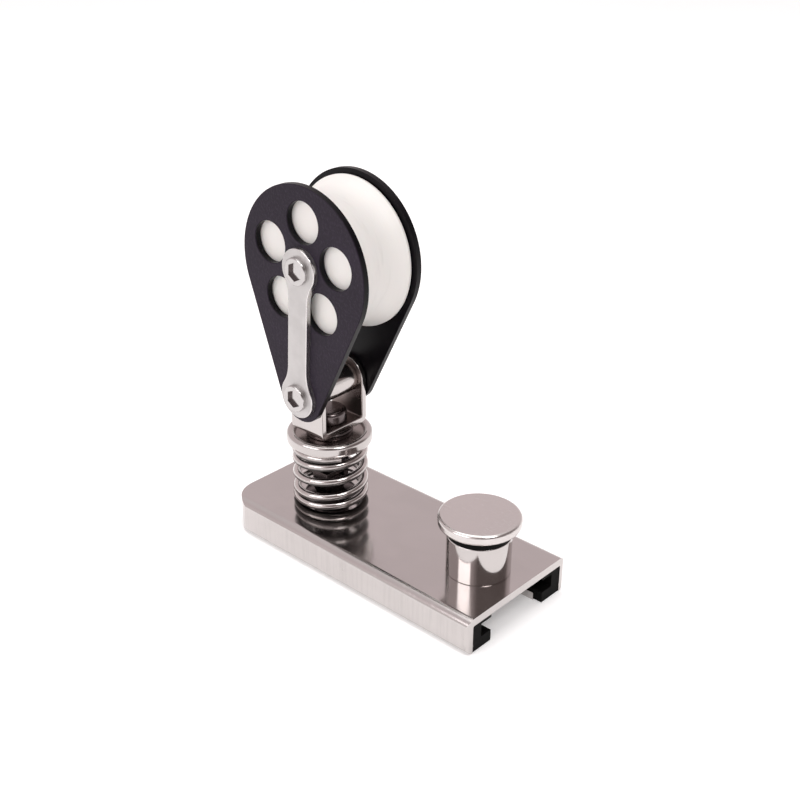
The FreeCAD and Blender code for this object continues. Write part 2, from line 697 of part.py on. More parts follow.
NODES = {
    "slide_channel": make_slide_channel(),
    "liner_near": make_liner(-1),
    "liner_far": make_liner(1),
    "base_padeye": make_base_padeye(),
    "toggle_link": make_toggle_link(),
    "lower_cross_pin": make_lower_cross_pin(),
    "upper_cross_pin": make_upper_cross_pin(),
    "swivel_post": make_swivel_post(),
    "spring_cup": make_spring_cup(),
    "thrust_washer": make_thrust_washer(),
    "swivel_nut": make_swivel_nut(),
    "stand_up_spring": make_stand_up_spring(),
    "fork": make_fork(),
    "spacer_tube": make_spacer_tube(),
    "cheek_near": make_cheek(-1),
    "cheek_far": make_cheek(1),
    "strap_near": make_strap(-1),
    "strap_far": make_strap(1),
    "axle": make_tapped_pin(AXLE_R, AXLE_RISE),
    "fork_pin": make_tapped_pin(FORK_PIN_R, 0),
    "strap_screws": make_strap_screws(),
    "sheave": make_sheave(),
    "sheave_bush": make_sheave_bush(),
    "plunger_barrel": make_plunger_barrel(),
    "barrel_bush": make_barrel_bush(),
    "plunger_pin": make_plunger_pin(),
    "plunger_spring": make_plunger_spring(),
    "plunger_cap": make_plunger_cap(),
}

os.makedirs("parts", exist_ok=True)
for node, shape in NODES.items():
    shape.exportStep("parts/" + node + ".step")
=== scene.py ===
import bmesh
import bpy
import json
import math
from contextlib import contextmanager
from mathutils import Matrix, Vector


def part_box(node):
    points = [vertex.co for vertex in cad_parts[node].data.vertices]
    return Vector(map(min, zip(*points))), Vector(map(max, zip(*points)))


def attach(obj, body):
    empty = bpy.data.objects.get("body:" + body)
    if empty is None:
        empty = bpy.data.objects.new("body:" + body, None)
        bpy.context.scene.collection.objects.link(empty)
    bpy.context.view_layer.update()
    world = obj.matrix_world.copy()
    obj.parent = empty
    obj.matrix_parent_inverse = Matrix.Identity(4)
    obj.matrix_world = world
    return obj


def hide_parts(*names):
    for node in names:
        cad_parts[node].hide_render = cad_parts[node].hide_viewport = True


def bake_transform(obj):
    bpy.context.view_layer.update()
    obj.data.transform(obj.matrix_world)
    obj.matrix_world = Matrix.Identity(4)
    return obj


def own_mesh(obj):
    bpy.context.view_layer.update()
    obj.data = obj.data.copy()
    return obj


bl_info = {
    "name": "Stand-up Sheave Block",
    "version": (1, 0, 0),
    "blender": (4, 5, 0),
    "location": "View3D > Sidebar > Sheave Block",
    "description": "Models a single sheave block on a sprung stand-up joint and its track slide",
    "category": "Object",
}

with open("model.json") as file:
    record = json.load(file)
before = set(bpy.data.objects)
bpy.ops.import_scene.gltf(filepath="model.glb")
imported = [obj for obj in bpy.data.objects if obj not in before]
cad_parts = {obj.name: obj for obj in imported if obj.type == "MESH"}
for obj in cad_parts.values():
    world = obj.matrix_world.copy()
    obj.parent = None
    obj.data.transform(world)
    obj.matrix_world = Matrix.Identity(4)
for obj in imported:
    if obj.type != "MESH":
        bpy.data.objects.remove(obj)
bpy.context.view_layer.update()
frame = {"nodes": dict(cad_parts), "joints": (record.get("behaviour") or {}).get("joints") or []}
JOINTS = {joint["name"]: joint for joint in frame["joints"]}

# Places that the frame gives, in metres
SLIDE_LOW, SLIDE_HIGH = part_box("slide_channel")
LOWER_PIN = Vector(JOINTS["spring_lean_along"]["pos_m"])
UPPER_PIN = Vector(JOINTS["spring_lean_across"]["pos_m"])
FORK_PIN = Vector(JOINTS["head_tilt"]["pos_m"])
AXLE = Vector(JOINTS["sheave_spin"]["pos_m"])
HEAD_LEAN = math.atan2(AXLE.x - FORK_PIN.x, AXLE.z - FORK_PIN.z)
AXLE_RISE = (AXLE - FORK_PIN).length
STAND = Vector((LOWER_PIN.x, 0, 0))
BARREL_LOW, BARREL_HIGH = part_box("plunger_barrel")
PLUNGER = Vector(((BARREL_LOW.x + BARREL_HIGH.x) / 2, 0, 0))

ACROSS = Vector((0, 1, 0))
ALONG = Vector((1, 0, 0))
UP = Vector((0, 0, 1))
FULL_TURN = 2 * math.pi
ROUND = 128             # sides of a turned piece
SEAM = 1e-6             # points nearer than this are one point
PAST = 0.004            # how far a cutting piece runs past what it cuts
POLISH_ANGLE = math.radians(32)
RECESS_SHADE = (0.24, 0.20, 0.19)      # colour of the painted shade that darkens steel in recesses

# Clearances and edge breaks that the pieces share
RUNNING = 0.00005       # radial clearance of a turning pin
SIDE_GAP = 0.0003       # clearance between the eyes and what they swing past
SINK = 0.0005           # how far a joined block runs into the piece it joins
FINE_EDGE = 0.0002
EDGE = 0.0003
BROAD_EDGE = 0.0004

# Details of single pieces
RIVET_RISE = 0.0006
FLANGE_RISE = 0.0016
EYE_BEVEL = 0.995       # share of an eye's radius, just short of points that meet
FORK_BEVEL = 0.998      # the same for the fork's ears
FORK_HOLE = 0.00355
FORK_INNER_BEND = 0.0006
SCREW_LENGTH = 0.008
SCREW_EDGE = 0.00045
SOCKET_EDGE = 0.00012
SHEAVE_BORE = 0.006
WINDOWS = 5
GUIDE_DEPTH = 0.0009    # how far the guide bush reaches down the barrel's bore
COLLAR_GAP = 0.0001     # between the collar and the barrel's floor
COLLAR_RISE = 0.0015
NOSE_CHAMFER = 0.0008
RELIEF_LOW = 0.0086     # the pin's relief, between its nose and its guide
RELIEF_HIGH = 0.0090
RELIEF_SHARE = 0.9      # its radius, as a share of the nose's
STAND_TURNS = 4.3
STAND_START = math.radians(-135)
RETURN_TURNS = 4.0
STEPS_PER_TURN = 40


# Modelling by hand: a primitive, edit-mode operators, then modifiers

def only(piece):
    bpy.ops.object.select_all(action="DESELECT")
    piece.select_set(True)
    bpy.context.view_layer.objects.active = piece


def rename(piece, name):
    piece.name = name
    piece.data.name = name
    return piece


def named(name):
    """Name the newest primitive and put its place into its mesh."""
    piece = rename(bpy.context.active_object, name)
    bpy.ops.object.transform_apply(location=True, rotation=True, scale=True)
    return piece


def block(name, low, high):
    low = Vector(low)
    high = Vector(high)
    bpy.ops.object.select_all(action="DESELECT")
    bpy.ops.mesh.primitive_cube_add(size=1, location=(low + high) / 2, scale=high - low)
    return named(name)


def rod(name, radius, start, end, sides=ROUND):
    start = Vector(start)
    end = Vector(end)
    turn = (end - start).to_track_quat("Z", "Y").to_euler()
    bpy.ops.object.select_all(action="DESELECT")
    bpy.ops.mesh.primitive_cylinder_add(
        vertices=sides, radius=radius, depth=(end - start).length,
        location=(start + end) / 2, rotation=turn)
    return named(name)


@contextmanager
def editing(piece):
    only(piece)
    bpy.ops.object.mode_set(mode="EDIT")
    yield
    bpy.ops.object.mode_set(mode="OBJECT")


def pick(piece, kind, test):
    """Select only the faces or edges of a piece in edit mode that pass a test."""
    bpy.ops.mesh.select_mode(type={"faces": "FACE", "edges": "EDGE"}[kind])
    bpy.ops.mesh.select_all(action="DESELECT")
    mesh = bmesh.from_edit_mesh(piece.data)
    for item in getattr(mesh, kind):
        if test(item):
            item.select_set(True)
    bmesh.update_edit_mesh(piece.data)


def runs_along(edge, axis):
    return abs((edge.verts[0].co - edge.verts[1].co).normalized()[axis]) > 0.999


def middle_of(edge):
    return (edge.verts[0].co + edge.verts[1].co) / 2


def on_rim(edge, height):
    """True for an edge that bounds the face at a distance along Y, apart from cuts within the face."""
    flat = [all(abs(vertex.co.y - height) < SEAM for vertex in face.verts) for face in edge.link_faces]
    return any(flat) and not all(flat)


def round_edges(piece, test, radius, segments):
    with editing(piece):
        pick(piece, "edges", test)
        bpy.ops.mesh.bevel(offset=radius, segments=segments, affect="EDGES")


def apply_last(piece):
    bpy.ops.object.modifier_apply(modifier=piece.modifiers[-1].name)


def carve(piece, tool, operation="DIFFERENCE"):
    """Cut, join or intersect a piece with another, which is used up."""
    only(piece)
    bpy.ops.object.modifier_add(type="BOOLEAN")
    boolean = piece.modifiers[-1]
    boolean.operation = operation
    boolean.object = tool
    boolean.solver = "EXACT"
    apply_last(piece)
    bpy.data.objects.remove(tool, do_unlink=True)


def soften(piece, width, segments=3, angle=POLISH_ANGLE):
    """Break every sharp edge with a small round."""
    only(piece)
    bpy.ops.object.modifier_add(type="BEVEL")
    bevel = piece.modifiers[-1]
    bevel.width = width
    bevel.segments = segments
    bevel.limit_method = "ANGLE"
    bevel.angle_limit = angle
    apply_last(piece)


def close_up():
    """Merge doubled points and turn the faces outwards, in edit mode."""
    bpy.ops.mesh.select_all(action="SELECT")
    bpy.ops.mesh.remove_doubles(threshold=SEAM)
    bpy.ops.mesh.normals_make_consistent(inside=False)


def polish(piece):
    """Close a piece up and shade it so that its flats stay flat."""
    with editing(piece):
        close_up()
    only(piece)
    bpy.ops.object.shade_smooth_by_angle(angle=POLISH_ANGLE)
    bpy.ops.object.modifier_add(type="WEIGHTED_NORMAL")
    piece.modifiers[-1].keep_sharp = True
    apply_last(piece)


def arc(centre, radius, start, stop, parts=8):
    """Points (radius, height) of an arc, with its angles in degrees."""
    points = []
    for number in range(parts + 1):
        angle = math.radians(start + (stop - start) * number / parts)
        points.append((centre[0] + radius * math.cos(angle), centre[1] + radius * math.sin(angle)))
    return points


def rounded_side(radius, low, high, edge, parts=8):
    """The outer side of a turned disc, with both corners rounded."""
    middle = radius - edge
    return arc((middle, low + edge), edge, -90, 0, parts) + arc((middle, high - edge), edge, 0, 90, parts)


def drawn(name, outline, corner):
    """Draw an outline of (across, up) points, point by point, in the plane that holds a corner."""
    first = corner + Vector((outline[0][0], 0, outline[0][1]))
    bpy.ops.object.select_all(action="DESELECT")
    bpy.ops.mesh.primitive_plane_add(size=PAST, location=first)
    piece = named(name)
    with editing(piece):
        bpy.ops.mesh.select_mode(type="VERT")
        bpy.ops.mesh.select_all(action="SELECT")
        bpy.ops.mesh.merge(type="CENTER")
        for last, point in zip(outline, outline[1:]):
            step = (point[0] - last[0], 0, point[1] - last[1])
            bpy.ops.mesh.extrude_vertices_move(TRANSFORM_OT_translate={"value": step})
    return piece


def plate(name, outline, low, high):
    """A flat plate with an outline of (x, z) points, between two distances along Y."""
    piece = drawn(name, outline, low * ACROSS)
    with editing(piece):
        bpy.ops.mesh.select_all(action="SELECT")
        bpy.ops.mesh.remove_doubles(threshold=SEAM)
        bpy.ops.mesh.edge_face_add()
        bpy.ops.mesh.extrude_region_move(TRANSFORM_OT_translate={"value": (0, high - low, 0)})
        bpy.ops.mesh.select_all(action="SELECT")
        bpy.ops.mesh.normals_make_consistent(inside=False)
    return piece


def turned(name, outline, centre=Vector(), steps=ROUND):
    """Draw a closed (radius, height) outline and spin it about a vertical line."""
    piece = drawn(name, outline, centre)
    with editing(piece):
        bpy.ops.mesh.select_all(action="SELECT")
        bpy.ops.mesh.spin(steps=steps, angle=FULL_TURN, center=centre, axis=UP)
        close_up()
    return piece


def put(piece, turn, move):
    """Turn a piece about the origin, move it, and keep both in its mesh."""
    only(piece)
    piece.rotation_euler = turn
    piece.location = move
    bpy.ops.object.transform_apply(location=True, rotation=True, scale=True)
    return piece


def lean(piece):
    """Put a piece made upright about the fork pin at the origin in its place on the leaning head."""
    return put(piece, (0, HEAD_LEAN, 0), FORK_PIN)


def copied(piece, name):
    """A copy of a piece with a mesh of its own."""
    only(piece)
    bpy.ops.object.duplicate(linked=False)
    return rename(bpy.context.active_object, name)


def mirrored(piece, name):
    """A copy of a piece on the other side of the slide's middle plane."""
    twin = copied(piece, name)
    twin.scale = (1, -1, 1)
    bpy.ops.object.transform_apply(location=True, rotation=True, scale=True)
    with editing(twin):
        bpy.ops.mesh.select_all(action="SELECT")
        bpy.ops.mesh.normals_make_consistent(inside=False)
    return twin


def dress(piece, material, slot, body, *nodes):
    """Give a finished piece its material, its body and the nodes it stands for. Its record slot is not used.
    """
    piece.data.materials.clear()
    piece.data.materials.append(material)
    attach(piece, body)
    if nodes:
        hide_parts(*nodes)
    return piece


def complete(piece, material, slot, body, *nodes):
    """Polish a piece, then dress it."""
    polish(piece)
    return dress(piece, material, slot, body, *nodes)


# Shader maths

class Field:
    """A number that varies over a surface. Python's operators on it add Math nodes."""

    def __init__(self, graph, socket):
        self.graph = graph
        self.socket = socket

    def maths(self, operation, *values):
        return self.graph.node("ShaderNodeMath", {"operation": operation}, dict(enumerate(values)))

    def __abs__(self):
        return self.maths("ABSOLUTE", self)


for sign, operation in (
        ("add", "ADD"), ("sub", "SUBTRACT"), ("mul", "MULTIPLY"), ("truediv", "DIVIDE"), ("pow", "POWER")):
    setattr(Field, "__%s__" % sign, lambda one, other, kind=operation: one.maths(kind, one, other))
    setattr(Field, "__r%s__" % sign, lambda one, other, kind=operation: one.maths(kind, other, one))


class Graph:
    """A node tree and the one method that adds nodes to it."""

    def __init__(self, tree):
        self.tree = tree
        self.tree.nodes.clear()

    def node(self, kind, settings=None, inputs=None, output=0):
        """Add a node: its settings first, then the values or links of its sockets."""
        node = self.tree.nodes.new(kind)
        for name, value in (settings or {}).items():
            if name == "stops":
                ramp = node.color_ramp
                while len(ramp.elements) < len(value):
                    ramp.elements.new(0.5)
                for element, (position, shade) in zip(ramp.elements, value):
                    element.position = position
                    element.color = (*shade, 1) if isinstance(shade, tuple) else (shade, shade, shade, 1)
            else:
                setattr(node, name, value)
        for name, value in (inputs or {}).items():
            if isinstance(value, Field):
                self.tree.links.new(value.socket, node.inputs[name])
            else:
                node.inputs[name].default_value = value
        return Field(self, node.outputs[output]) if len(node.outputs) else node

    def place(self, centre=(0, 0, 0), turn=(0, 0, 0), scale=(1, 1, 1)):
        """Object coordinates about a centre, turned and stretched."""
        coordinates = self.node("ShaderNodeTexCoord", output=3)
        moved = self.node("ShaderNodeVectorMath", {"operation": "SUBTRACT"}, {0: coordinates, 1: centre})
        return self.node("ShaderNodeMapping", None, {0: moved, "Rotation": turn, "Scale": scale})

    def noise(self, where, scale, detail=2.0, distortion=0.0):
        """Noise from 0 to 1 with features of about 1 / scale metres."""
        sockets = {"Vector": where, "Scale": scale, "Detail": detail, "Distortion": distortion}
        return self.node("ShaderNodeTexNoise", None, sockets)

    def step(self, value, low, high):
        """0 below low, 1 above high, smooth between them."""
        sockets = {"Value": value, "From Min": low, "From Max": high}
        return self.node("ShaderNodeMapRange", {"interpolation_type": "SMOOTHSTEP"}, sockets)

    def axis(self, where, number):
        return self.node("ShaderNodeSeparateXYZ", None, {0: where}, output=number)

    def radius(self, where, first, second):
        """Distance from the line that is square to two axes."""
        return (self.axis(where, first) ** 2 + self.axis(where, second) ** 2) ** 0.5

    def blend(self, share, first, second):
        """Mix two colours."""
        sockets = {0: share, 6: as_colour(first), 7: as_colour(second)}
        return self.node("ShaderNodeMix", {"data_type": "RGBA"}, sockets, output=2)

    def bump(self, height, depth):
        return self.node("ShaderNodeBump", None, {"Height": height, "Distance": depth})

    def surface(self, **sockets):
        """The shader and the output. Sockets are named with underscores for spaces."""
        inputs = {name.replace("_", " "): value for name, value in sockets.items()}
        shader = self.node("ShaderNodeBsdfPrincipled", None, inputs)
        self.node("ShaderNodeOutputMaterial", None, {"Surface": shader})


def as_colour(value):
    return value if isinstance(value, Field) else (*tuple(value)[:3], 1)


def shaded(colour, factor):
    return tuple(channel * factor for channel in tuple(colour)[:3])


def material(name):
    found = bpy.data.materials.new(name)
    found.use_nodes = True
    return found, Graph(found.node_tree)


def polished_metal(name, colour, roughness, smear, centre=(0, 0, 0), turn=(0, 0, 0), dull=None,
                   painted_shade=RECESS_SHADE):
    """Buffed stainless: a haze of smears, hairline scratches and faint waves. dull(graph, where) gives
    the share where the finish is duller and a painted shade darkens the colour, for shade in recesses.
    """
    found, graph = material(name)
    where = graph.place(centre, turn)
    haze = graph.noise(where, 90, 3, 0.4)
    streaks = graph.noise(graph.place(centre, turn, (1, 6, 6)), 700, 2)
    hairline = graph.step(graph.noise(graph.place(centre, (0.3, 0.2, 0.9), (1, 40, 40)), 260, 2), 0.66, 0.72)
    cloud = graph.step(haze, 0.35, 0.7)
    rough = roughness + cloud * smear + hairline * 0.09 + streaks * 0.03
    tone = graph.blend(cloud * 0.6 + streaks * 0.4, colour, shaded(colour, 0.93))
    # Painted shade: where the mask is high, the colour is darkened towards the shade colour and the finish
    # made duller.
    if dull:
        shade_share = dull(graph, where)
        tone = graph.blend(shade_share, tone, painted_shade)
        rough = rough + shade_share * (0.12 + cloud * 0.1)
    waves = graph.noise(where, 160, 1) + hairline * 0.02
    graph.surface(
        Base_Color=tone, Metallic=1.0, Roughness=rough, Normal=graph.bump(waves, 0.000012))
    return found


def slide_sheet_metal(name, colour):
    """Polished sheet whose bent walls keep faint upright rolling and belt marks."""
    found, graph = material(name)
    where = graph.place()
    height = graph.axis(where, 2)
    wall = 1 - graph.step(height, SLIDE_HIGH.z - 0.003, SLIDE_HIGH.z - 0.0012)
    ticks = graph.noise(graph.place(scale=(1, 0.05, 0.05)), 900, 2)
    marks = graph.step(ticks, 0.42, 0.68) * wall
    along_grain = graph.noise(graph.place(scale=(0.06, 1, 1)), 1500, 2)
    haze = graph.step(graph.noise(where, 55, 3, 0.6), 0.35, 0.7)
    specks = graph.step(graph.noise(where, 420, 1), 0.68, 0.74)
    rough = 0.085 + haze * 0.05 + marks * 0.09 + along_grain * 0.04 + specks * 0.05
    tone = graph.blend(haze * 0.35 + marks * 0.45, colour, shaded(colour, 0.88))
    relief = graph.noise(where, 130, 1) + marks * 0.25 + along_grain * 0.12
    graph.surface(
        Base_Color=tone, Metallic=1.0, Roughness=rough, Normal=graph.bump(relief, 0.000016))
    return found


def drawn_wire(name, colour):
    """Spring wire with the fine die marks of drawing and random stains, and a painted shade on its
    undersides.
    """
    found, graph = material(name)
    where = graph.place(STAND)
    grain = graph.noise(graph.place(STAND, scale=(1, 1, 5)), 900, 2)
    stain = graph.step(graph.noise(where, 260, 2), 0.5, 0.75)
    # Painted shade: the wire is darkened where its surface faces down.
    facing = graph.axis(graph.node("ShaderNodeTexCoord", output=1), 2)
    underside_shade = 1 - graph.step(facing + stain * 0.25 - grain * 0.2, -0.45, 0.35)
    tone = graph.blend(stain * 0.6, colour, shaded(colour, 0.75))
    graph.surface(
        Base_Color=graph.blend(underside_shade * 0.92, tone, shaded(colour, 0.06)), Metallic=1.0,
        Roughness=0.1 + grain * 0.1 + stain * 0.08 + underside_shade * 0.15,
        Normal=graph.bump(grain, 0.00001))
    return found


def tumbled_metal(name, colour):
    """Satin stainless from a tumbling barrel: tiny random dents; its rounded edges are worn smoother and
    carry a painted highlight.
    """
    found, graph = material(name)
    where = graph.place()
    dents = graph.noise(where, 1400, 3)
    patches = graph.step(graph.noise(where, 150, 2), 0.35, 0.7)
    edge = graph.node("ShaderNodeAttribute", {"attribute_name": "worn_edge"}, output=2)
    tone = graph.blend(patches * 0.5 + dents * 0.3, colour, shaded(colour, 0.86))
    # Painted highlight: the marked edges are painted brighter; their lower roughness is wear.
    bright = graph.blend(edge, tone, shaded(colour, 1.22))
    rough = (0.36 + dents * 0.08 + patches * 0.05) * (1 - edge * 0.55)
    graph.surface(
        Base_Color=bright, Metallic=1.0, Roughness=rough, Normal=graph.bump(dents, 0.000008))
    return found


def moulded_black(name, colour, roughness, grain_size, centre=(0, 0, 0), gloss=0.07):
    """Black nylon with a fine mould grain, a little paler where it has been handled."""
    found, graph = material(name)
    where = graph.place(centre)
    grain = graph.noise(where, 1 / grain_size, 2)
    handled = graph.step(graph.noise(where, 70, 3, 0.5), 0.4, 0.72)
    tone = graph.blend(handled, colour, shaded(colour, 1.5))
    rough = roughness + grain * 0.12 + handled * 0.05
    graph.surface(
        Base_Color=tone, Roughness=rough, Specular_IOR_Level=gloss, Normal=graph.bump(grain, 0.000015))
    return found


def cheek_nylon(name, colour, inner, outer):
    """Black nylon: sparkle-eroded mould texture outside, smooth inside the sheave's gap, with painted shade
    on the inner face and the rim.
    """
    found, graph = material(name)
    where = graph.place(AXLE)
    grain = graph.noise(where, 2600, 3)
    pits = graph.step(graph.noise(where, 1100, 2), 0.45, 0.7)
    handled = graph.step(graph.noise(where, 60, 3, 0.5), 0.4, 0.72)
    outside = graph.step(abs(graph.axis(where, 1)), inner + (outer - inner) * 0.8, outer)
    face = graph.blend(grain * 0.5 + pits * 0.3 + handled * 0.3, colour, shaded(colour, 2.3))
    # Painted shade: the inner face and the rim are darkened to a fifth of the nylon's colour.
    tone = graph.blend(outside, shaded(colour, 0.2), face)
    rough = 0.3 + outside * (0.06 + grain * 0.16 + handled * 0.05)
    relief = (grain + pits * 0.6) * outside
    graph.surface(
        Base_Color=tone, Roughness=rough, Specular_IOR_Level=0.12, Normal=graph.bump(relief, 0.00005))
    return found


def turned_acetal(name, colour):
    """White acetal with lathe lines round the sheave and a trace of grey where the rope runs."""
    found, graph = material(name)
    where = graph.place(AXLE)
    side = graph.axis(where, 1)
    radius = graph.radius(where, 0, 2)
    lines = graph.noise(graph.node("ShaderNodeCombineXYZ", None, {0: radius, 1: side}), 2600, 2)
    scuffs = graph.step(graph.noise(graph.place(AXLE, scale=(1, 4, 1)), 120, 3, 0.4), 0.5, 0.8)
    bottom = 1 - graph.step(abs(side), 0.001, 0.006)
    rim = graph.step(radius, 0.0195, 0.0205)
    wear = bottom * rim * (0.25 + scuffs * 0.6)
    tone = graph.blend(wear, colour, shaded(colour, 0.86))
    tone = graph.blend(lines * 0.25, tone, shaded(colour, 0.93))
    graph.surface(
        Base_Color=tone, Roughness=0.38 + lines * 0.14, Subsurface_Weight=0.05,
        Subsurface_Scale=0.001, Normal=graph.bump(lines, 0.00002))
    return found


def bearing_plastic(name, colour):
    """Filled acetal: dull, with darker flecks of its filler."""
    found, graph = material(name)
    where = graph.place()
    flecks = graph.step(graph.noise(where, 1800, 2), 0.55, 0.7)
    tone = graph.blend(flecks, colour, shaded(colour, 0.6))
    graph.surface(Base_Color=tone, Roughness=0.45 + flecks * 0.15, Normal=graph.bump(flecks, 0.00001))
    return found


def floor_paint(name, glow):
    """A pale matt floor with the slightest mottling."""
    found, graph = material(name)
    mottle = graph.noise(graph.place(), 9, 3)
    tone = graph.blend(mottle, (0.93, 0.93, 0.93), (0.9, 0.9, 0.9))
    graph.surface(
        Base_Color=tone, Roughness=0.9, Specular_IOR_Level=0.1,
        Emission_Color=(1, 1, 1, 1), Emission_Strength=glow)
    return found


# What a user may change

def length(name, description, default):
    return bpy.props.FloatProperty(
        name=name, description=description, default=default, min=0.0, unit="LENGTH", precision=5)


def colour(name, description, default):
    return bpy.props.FloatVectorProperty(
        name=name, description=description, default=default, size=3, min=0.0, max=1.0,
        subtype="COLOR")


class SlideSizes(bpy.types.PropertyGroup):
    sheet: length("Sheet", "Thickness of the slide's sheet", 0.0025)
    bend: length("Bend", "Outer radius of the sheet's bends", 0.003)
    lip_gap: length("Lip gap", "Slot between the lower lips", 0.023)
    rear_corner: length("Rear corners", "Plan radius of the two corners behind the head", 0.010)
    front_corner: length("Front corners", "Plan radius of the two corners by the plunger", 0.0015)
    toe: length("Toes", "Length of the liners' toes over the lips' ends", 0.003)
    edge: length("Edge break", "Round on the sheet's cut edges", 0.00025)
    barrel_hole: length("Barrel hole", "Radius of the hole for the plunger's barrel", 0.007)
    eye_hole: length("Padeye hole", "Radius of the hole for the padeye's rivet", 0.0035)


class StandSizes(bpy.types.PropertyGroup):
    eye: length("Eye", "Radius of the eyes and jaws", 0.0032)
    eye_half: length("Half eye", "Half the thickness of an eye", 0.0025)
    jaw_inner: length("Jaw inside", "Distance of a jaw's inner face from the middle", 0.0028)
    jaw_outer: length("Jaw outside", "Distance of a jaw's outer face from the middle", 0.0048)
    pin: length("Cross pin", "Radius of the two cross pins", 0.002)
    pin_half: length("Half pin", "Half the length of a cross pin", 0.00515)
    flange: length("Flange", "Radius of the padeye's flange", 0.0085)
    rivet: length("Rivet head", "Radius of the rivet head under the plate", 0.0048)
    shoulder: length("Shoulder", "Radius of the post's shoulder", 0.0075)
    shank: length("Shank", "Radius of the post's shank", 0.0035)
    wire: length("Spring wire", "Radius of the stand-up spring's wire", 0.0013)
    coil: length("Spring", "Outer radius of the stand-up spring", 0.01205)
    cup: length("Cup", "Outer radius of the spring cup", 0.0135)
    cup_rim: length("Cup rim", "Radius of the cup's rounded rim", 0.00135)
    cup_floor: length("Cup floor", "Thickness of the cup's floor", 0.003)
    nut: length("Nut", "Radius of the swivel nut", 0.0055)
    nut_edge: length("Nut edge", "Radius of the nut's domed edge", 0.0014)


class HeadSizes(bpy.types.PropertyGroup):
    fork_strap: length("Fork strap", "Thickness of the fork's arms", 0.002)
    fork_web: length("Fork web", "Thickness of the fork's foot", 0.0022)
    fork_bend: length("Fork bend", "Outer radius of the fork's bends", 0.0022)
    spacer: length("Spacer", "Radius of the tube round the fork pin", 0.005)
    cheek_top: length("Cheek", "Radius of a cheek round the axle", 0.0247)
    cheek_foot: length("Cheek foot", "Radius of a cheek round the fork pin", 0.0085)
    cheek_inner: length("Cheek inside", "Distance of a cheek's inner face from the middle", 0.0099)
    cheek_outer: length("Cheek outside", "Distance of a cheek's outer face from the middle", 0.0119)
    cheek_edge: length("Cheek edge", "Round on a cheek's outer rim", 0.0006)
    window: length("Window", "Radius of a cheek's windows", 0.0063)
    window_circle: length("Window circle", "Radius of the circle of windows", 0.014)
    strap_outer: length("Strap outside", "Distance of a strap's outer face from the middle", 0.0135)
    strap_end: length("Strap end", "Radius of a strap's round ends", 0.0066)
    strap_waist: length("Strap waist", "Half the width of a strap's waist", 0.0039)
    strap_neck: length("Strap neck", "Radius of the hollow necks of a strap", 0.012)
    strap_edge: length("Strap edge", "Width of a strap's worn edge", 0.0003)
    screw: length("Screw", "Radius of a screw's shank", 0.0025)
    screw_head: length("Screw head", "Radius of a screw's head", 0.0042)
    screw_rise: length("Screw rise", "Height of a screw's head", 0.0013)
    socket: length("Socket", "Width across the flats of a screw's socket", 0.005)
    socket_depth: length("Socket depth", "Depth of a screw's socket", 0.0011)
    sheave: length("Sheave", "Outer radius of the sheave", 0.023)
    sheave_half: length("Half sheave", "Half the width of the sheave", 0.0095)
    sheave_land: length("Land", "Width of the flat rim beside the groove", 0.0009)
    groove: length("Groove", "Depth of the rope groove", 0.0026)


class PlungerSizes(bpy.types.PropertyGroup):
    barrel: length("Barrel", "Outer radius of the barrel", 0.0096)
    bore: length("Bore", "Radius of the barrel's bore", 0.0065)
    mouth: length("Mouth", "Radius of the barrel's turned-down mouth", 0.0086)
    skirt: length("Skirt", "Height of the guide bush's lower edge", 0.024)
    floor: length("Floor", "Thickness of the barrel's floor", 0.0012)
    nose: length("Nose", "Radius of the pin's nose", 0.004)
    guide: length("Guide", "Radius of the pin where it runs in the barrel", 0.0045)
    collar: length("Collar", "Radius of the pin's collar", 0.0062)
    rod: length("Rod", "Radius of the pull rod", 0.0025)
    cap_edge: length("Cap edge", "Radius of the cap's rounded rim", 0.0011)
    wire: length("Return wire", "Radius of the return spring's wire", 0.0004)
    coil: length("Return coil", "Radius of the return spring to its wire's middle", 0.0046)


class Finishes(bpy.types.PropertyGroup):
    slide: colour("Slide", "Polished sheet", (0.545, 0.515, 0.505))
    steel: colour("Fittings", "Polished turned fittings", (0.535, 0.505, 0.495))
    # Painted shade: this dark colour stands for the shade inside the spring, under the fork and in the screw
    # sockets.
    joint: colour("Inner joint", "Greased joint inside the spring", (0.13, 0.11, 0.11))
    wire: colour("Spring", "Bright spring wire", (0.55, 0.51, 0.50))
    strap: colour("Straps", "Tumbled straps and screws", (0.52, 0.505, 0.50))
    cheek: colour("Cheeks", "Black moulded cheeks", (0.013, 0.0095, 0.0155))
    liner: colour("Liners", "Black liners", (0.0025, 0.0023, 0.0021))
    sheave: colour("Sheave", "White acetal", (0.75, 0.735, 0.71))
    bush: colour("Bushes", "Filled acetal", (0.25, 0.24, 0.22))


class StageSettings(bpy.types.PropertyGroup):
    azimuth: bpy.props.FloatProperty(
        name="Azimuth", description="Camera's bearing from straight in front, towards the plunger",
        default=math.radians(42.894), subtype="ANGLE")
    elevation: bpy.props.FloatProperty(
        name="Elevation", description="Camera's height above the horizon",
        default=math.radians(27.490), subtype="ANGLE")
    distance: length("Distance", "Camera's distance from the aim point", 0.364287)
    aim: length("Aim height", "Height of the point that the camera looks at", 0.05)
    lens: bpy.props.FloatProperty(
        name="Lens", description="Focal length in millimetres", default=55.511, min=1.0)
    shift_right: bpy.props.FloatProperty(
        name="Shift right", description="Sideways shift of the picture", default=0.01205)
    shift_up: bpy.props.FloatProperty(
        name="Shift up", description="Upward shift of the picture", default=0.01742)
    floor: length("Floor", "Side of the square floor", 12.0)
    glow: bpy.props.FloatProperty(
        name="Floor glow", description="Light that the floor gives back evenly", default=0.22, min=0.0)
    sky: bpy.props.FloatProperty(
        name="Sky", description="Strength of the room's light", default=1.0, min=0.0)


GROUPS = {
    "slide_sizes": SlideSizes,
    "stand_sizes": StandSizes,
    "head_sizes": HeadSizes,
    "plunger_sizes": PlungerSizes,
    "finishes": Finishes,
    "stage_settings": StageSettings,
}


# The slide

